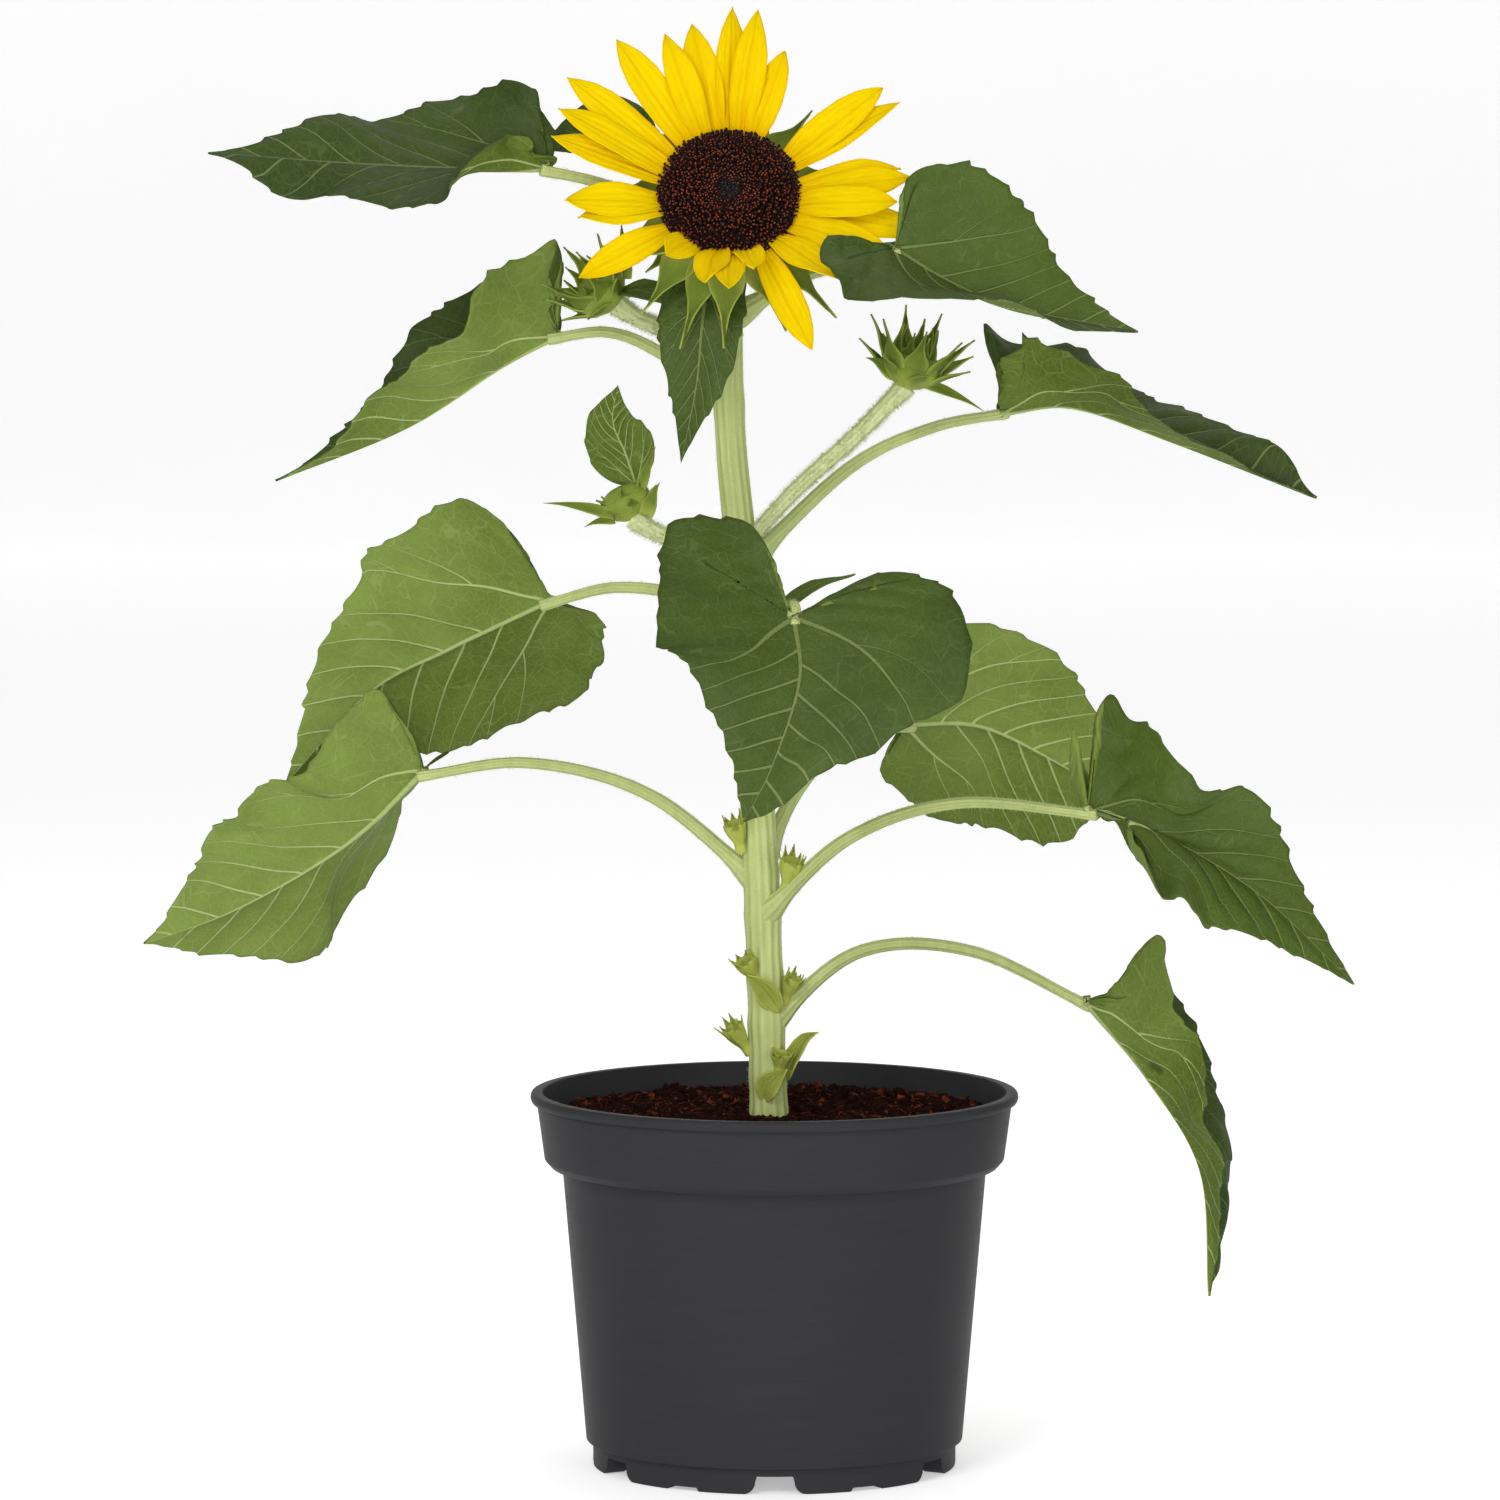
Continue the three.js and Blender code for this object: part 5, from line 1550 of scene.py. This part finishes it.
class SUNFLOWER_OT_buds(bpy.types.Operator):
    """Makes the three green buds on their hairy stalks"""

    bl_idname = "sunflower.buds"
    bl_label = "Buds"

    def execute(self, context):
        rng = random_numbers(29)
        for name, bud in BUDS.items():
            cup, length, reach, points = bud["cup"], bud["length"], bud["reach"], bud["points"]
            where = bud_frame(bud)
            section = [
                (0, -0.4), (cup * 0.35, -0.4), (cup * 0.8, length * 0.25), (cup, length * 0.55),
                (cup * 0.86, length * 0.85), (cup * 0.45, length * 1.05), (0, length * 1.1),
            ]
            pieces = [turned_piece(f"bud_cup_{name}", where, section, 48, points, 0.03)]
            # rows of bracts: direction's start and play, pitch, length, ring's radius and height,
            # half-width, rise, and kind of blade
            for row, start, play, pitch, far, ring, high, half, rise, kind in (
                ("outer", 0, 8, (50, 74), (0.92, 1.2), 0.76, 0.3, 0.5, 1.6, "awned"),
                ("inner", 22, 0, (78, 98), (0.65, 0.85), 0.6, 0.45, 0.44, 1.4, "awned"),
                ("low", 11, 0, (30, 52), (0.7, 0.95), 0.72, 0.18, 0.34, 0.8, "bract"),
            ):
                blades = []
                for i in range(points):
                    azimuth = i * 360 / points + (rng.uniform(-play, play) if play else start)
                    blades.append((azimuth, rng.uniform(*pitch), reach * rng.uniform(*far)))
                pieces += bract_ring(
                    row, where, blades, cup * ring, length * high, cup * half, rise, rng, kind,
                )
            for i, (foot, tip, half) in enumerate(bud["beside"]):
                foot, tip = np.array(foot, float), np.array(tip, float)
                arch = [foot * (1 - t) + tip * t + (0, 0, 1) for t in (0.35, 0.7)]
                course = Course([foot, *arch, tip])
                pieces.append(strap_piece(f"beside_{i}", course, (0.1, -1, 0.35), half * MM, "bract"))
            piece = join(f"bud_bracts_{name}", pieces)
            finish_piece(piece, [shared("bract_blade", bract_finish)], [f"bud_{name}"])
            stalk = limb(f"bud_stalk_{name}", bud_course(bud), bud_radius(bud), 90, 36)
            material = shared("stalk_downy", stalk_finish, ribs=8, green=-0.1, down=0.5)
            finish_piece(stalk, [material], [f"stalk_bud_{name}"])
        return {"FINISHED"}


# an axil bud's section above its foot, in shares of its radius and height
GOBLET = [(0.52, 0.2), (0.8, 0.45), (1, 0.7), (0.92, 0.86), (0.5, 0.8), (0, 0.72)]


class SUNFLOWER_OT_axil_buds(bpy.types.Operator):
    """Makes the small goblet buds in the leaf axils"""

    bl_idname = "sunflower.axil_buds"
    bl_label = "Axil buds"

    def execute(self, context):
        rng = random_numbers(31)
        for i, (foot, aim, radius, height) in enumerate(AXIL_BUDS, 1):
            where = bud_frame(dict(base=foot, aim=aim))
            section = [(0, -1.2), (radius * 0.5, -1.2)]
            section += [(radius * a, height * b) for a, b in GOBLET]
            pieces = [turned_piece(f"goblet_{i}", where, section, 32, 8, 0.05)]
            ring = [
                (k * 45 + rng.uniform(-8, 8), rng.uniform(66, 96), height * rng.uniform(0.34, 0.6))
                for k in range(8)
            ]
            pieces += bract_ring(
                "tooth", where, ring, radius * 0.86, height * 0.6, radius * 0.42, 0.3, rng,
                thickness=0.0005,
            )
            piece = join(f"axil_bud_{i}", pieces)
            pale = shared("bract_pale", bract_finish, PALE_BRACT)
            finish_piece(piece, [pale], [f"bud_axil_{i}"])
        return {"FINISHED"}


# ---------------------------------------------------------------- hairs

def hairs_on(course, radius, count, rng):
    """Feet and directions of hairs on a limb."""
    share = rng.uniform(0.01, 0.985, count)
    angle = rng.uniform(0, TURN, count)
    girth = np.array(radius(share[:, None], angle[:, None]))[:, 0]
    side, other = course.across(share)
    way = side * np.cos(angle)[:, None] + other * np.sin(angle)[:, None]
    foot = course.at(share) + way * (girth * 0.97)[:, None]
    return foot, way + rng.normal(0, HAIR_SPREAD, (count, 3))


class SUNFLOWER_OT_hairs(bpy.types.Operator):
    """Covers stem, stalks and buds with short pale hairs"""

    bl_idname = "sunflower.hairs"
    bl_label = "Hairs"

    def execute(self, context):
        rng = random_numbers(41)
        feet, ways, scales = [], [], []
        def add(foot, way, scale=1.0):
            feet.append(foot)
            ways.append(way)
            scales.append(np.full(len(foot), scale))
        def grow(course, radius, per_metre, scale=1.0):
            add(*hairs_on(course, radius, int(per_metre * course.length), rng), scale)
        grow(stem_course(), stem_radius, STEM_HAIRS)
        for _, shape in stalked():
            course = stalk_course(shape)
            grow(course, stalk_radius(course, *shape.get("girth", STALK_GIRTH)), STALK_HAIRS)
        for bud in BUDS.values():
            grow(bud_course(bud), bud_radius(bud), BUD_HAIRS, 1.4)
            turn, base = bud_frame(bud)
            angle, share = rng.uniform(0, TURN, CUP_HAIRS), rng.uniform(0.05, 0.8, CUP_HAIRS)
            out = np.stack([np.cos(angle), np.sin(angle), 0.2 + 0 * angle], -1)
            reach = bud["cup"] * (0.55 + 0.5 * share) * MM
            foot = np.stack([out[:, 0] * reach, out[:, 1] * reach, share * bud["length"] * MM], -1)
            add(foot @ turn.T + base, (out + rng.normal(0, 0.3, out.shape)) @ turn.T, 1.2)
        feet, ways, scales = np.vstack(feet), np.vstack(ways), np.concatenate(scales)[:, None]
        count = len(feet)
        size = np.empty((count, 1, 3))
        size[:, 0, :2] = rng.uniform(0.00005, 0.00009, (count, 1)) * scales
        size[:, 0, 2] = sizes().hair * rng.uniform(0.5, 1.25, count) * scales[:, 0]
        hair = stacked("hair", 3, [(1, 0), (0.25, 1)])
        hairs = strew(hair, "hairs", aim_frames(ways, rng.uniform(0, 6.28, count)) * size, feet)
        c = palette()
        white = shared("hair_white", mottled, c.hair, c.stem_rib, 200, 0.5, 0.0001, glow=0.3)
        finish_piece(hairs, [white])
        return {"FINISHED"}


# ---------------------------------------------------------------- stage

class SUNFLOWER_OT_stage(bpy.types.Operator):
    """Sets the floor, the soft studio light and the camera"""

    bl_idname = "sunflower.stage"
    bl_label = "Stage"

    def execute(self, context):
        c = palette()
        bend = np.linspace(0, QUARTER, 13)
        sweep = [(-8, 0)] + [(6 + math.sin(t), 1 - math.cos(t)) for t in bend] + [(7, 6)]
        points = np.array([[(x, y, z) for x in (-9, 9)] for y, z in sweep], float)
        floor, _, _ = draped_grid("floor", points)
        shade = tuple(v * 0.98 for v in c.floor)
        pale = mottled("floor_pale", c.floor, shade, 2, 0.85, 0.0, fine=40, emitted=FLOOR_GLOW)
        floor.data.materials.append(pale)
        select(floor)
        bpy.ops.object.shade_smooth()

        world = bpy.data.worlds.new("studio")
        context.scene.world = world
        world.use_nodes = True
        background = world.node_tree.nodes["Background"]
        background.inputs["Color"].default_value = (1, 1, 1, 1)
        background.inputs["Strength"].default_value = WORLD_STRENGTH

        for name, place, size, power in LIGHTS:
            deselect()
            bpy.ops.object.light_add(type="AREA", location=place)
            light = bpy.context.object
            light.name = name
            light.data.size = size
            light.data.energy = power
            aim = Vector(LIGHT_AIM) - light.location
            light.rotation_euler = aim.to_track_quat("-Z", "Y").to_euler()

        deselect()
        bpy.ops.object.camera_add(location=CAMERA_PLACE)
        camera = bpy.context.object
        aim = Vector(CAMERA_AIM) - camera.location
        camera.rotation_euler = aim.to_track_quat("-Z", "Y").to_euler()
        camera.data.lens = CAMERA_LENS
        camera.data.sensor_width = CAMERA_SENSOR
        context.scene.camera = camera
        context.scene.view_settings.view_transform = "Standard"
        return {"FINISHED"}


# ---------------------------------------------------------------- add-on

OPERATORS = (
    SUNFLOWER_OT_pot, SUNFLOWER_OT_soil, SUNFLOWER_OT_stem, SUNFLOWER_OT_petioles, SUNFLOWER_OT_leaves,
    SUNFLOWER_OT_narrow_leaves, SUNFLOWER_OT_petals, SUNFLOWER_OT_disc, SUNFLOWER_OT_calyx,
    SUNFLOWER_OT_buds, SUNFLOWER_OT_axil_buds, SUNFLOWER_OT_hairs, SUNFLOWER_OT_stage,
)


class SUNFLOWER_PT_panel(bpy.types.Panel):
    """Lists the pieces of the sunflower, its sizes and its colours"""

    bl_idname = "SUNFLOWER_PT_panel"
    bl_label = "Potted sunflower"
    bl_space_type = "VIEW_3D"
    bl_region_type = "UI"
    bl_category = "Sunflower"

    def draw(self, context):
        for operator in OPERATORS:
            self.layout.operator(operator.bl_idname)
        for group in (context.scene.sunflower_sizes, context.scene.sunflower_colours):
            box = self.layout.box()
            for name in group.__annotations__:
                box.prop(group, name)


CLASSES = (SunflowerSizes, SunflowerColours, *OPERATORS, SUNFLOWER_PT_panel)


def register():
    for one in CLASSES:
        bpy.utils.register_class(one)
    bpy.types.Scene.sunflower_sizes = bpy.props.PointerProperty(type=SunflowerSizes)
    bpy.types.Scene.sunflower_colours = bpy.props.PointerProperty(type=SunflowerColours)


def unregister():
    del bpy.types.Scene.sunflower_colours
    del bpy.types.Scene.sunflower_sizes
    for one in reversed(CLASSES):
        bpy.utils.unregister_class(one)


def main():
    register()
    for operator in OPERATORS:
        call = getattr(bpy.ops.sunflower, operator.bl_idname.split(".")[1])
        if call() != {"FINISHED"}:
            raise RuntimeError(f"{operator.bl_label} was not made")


if __name__ == "__main__":
    main()
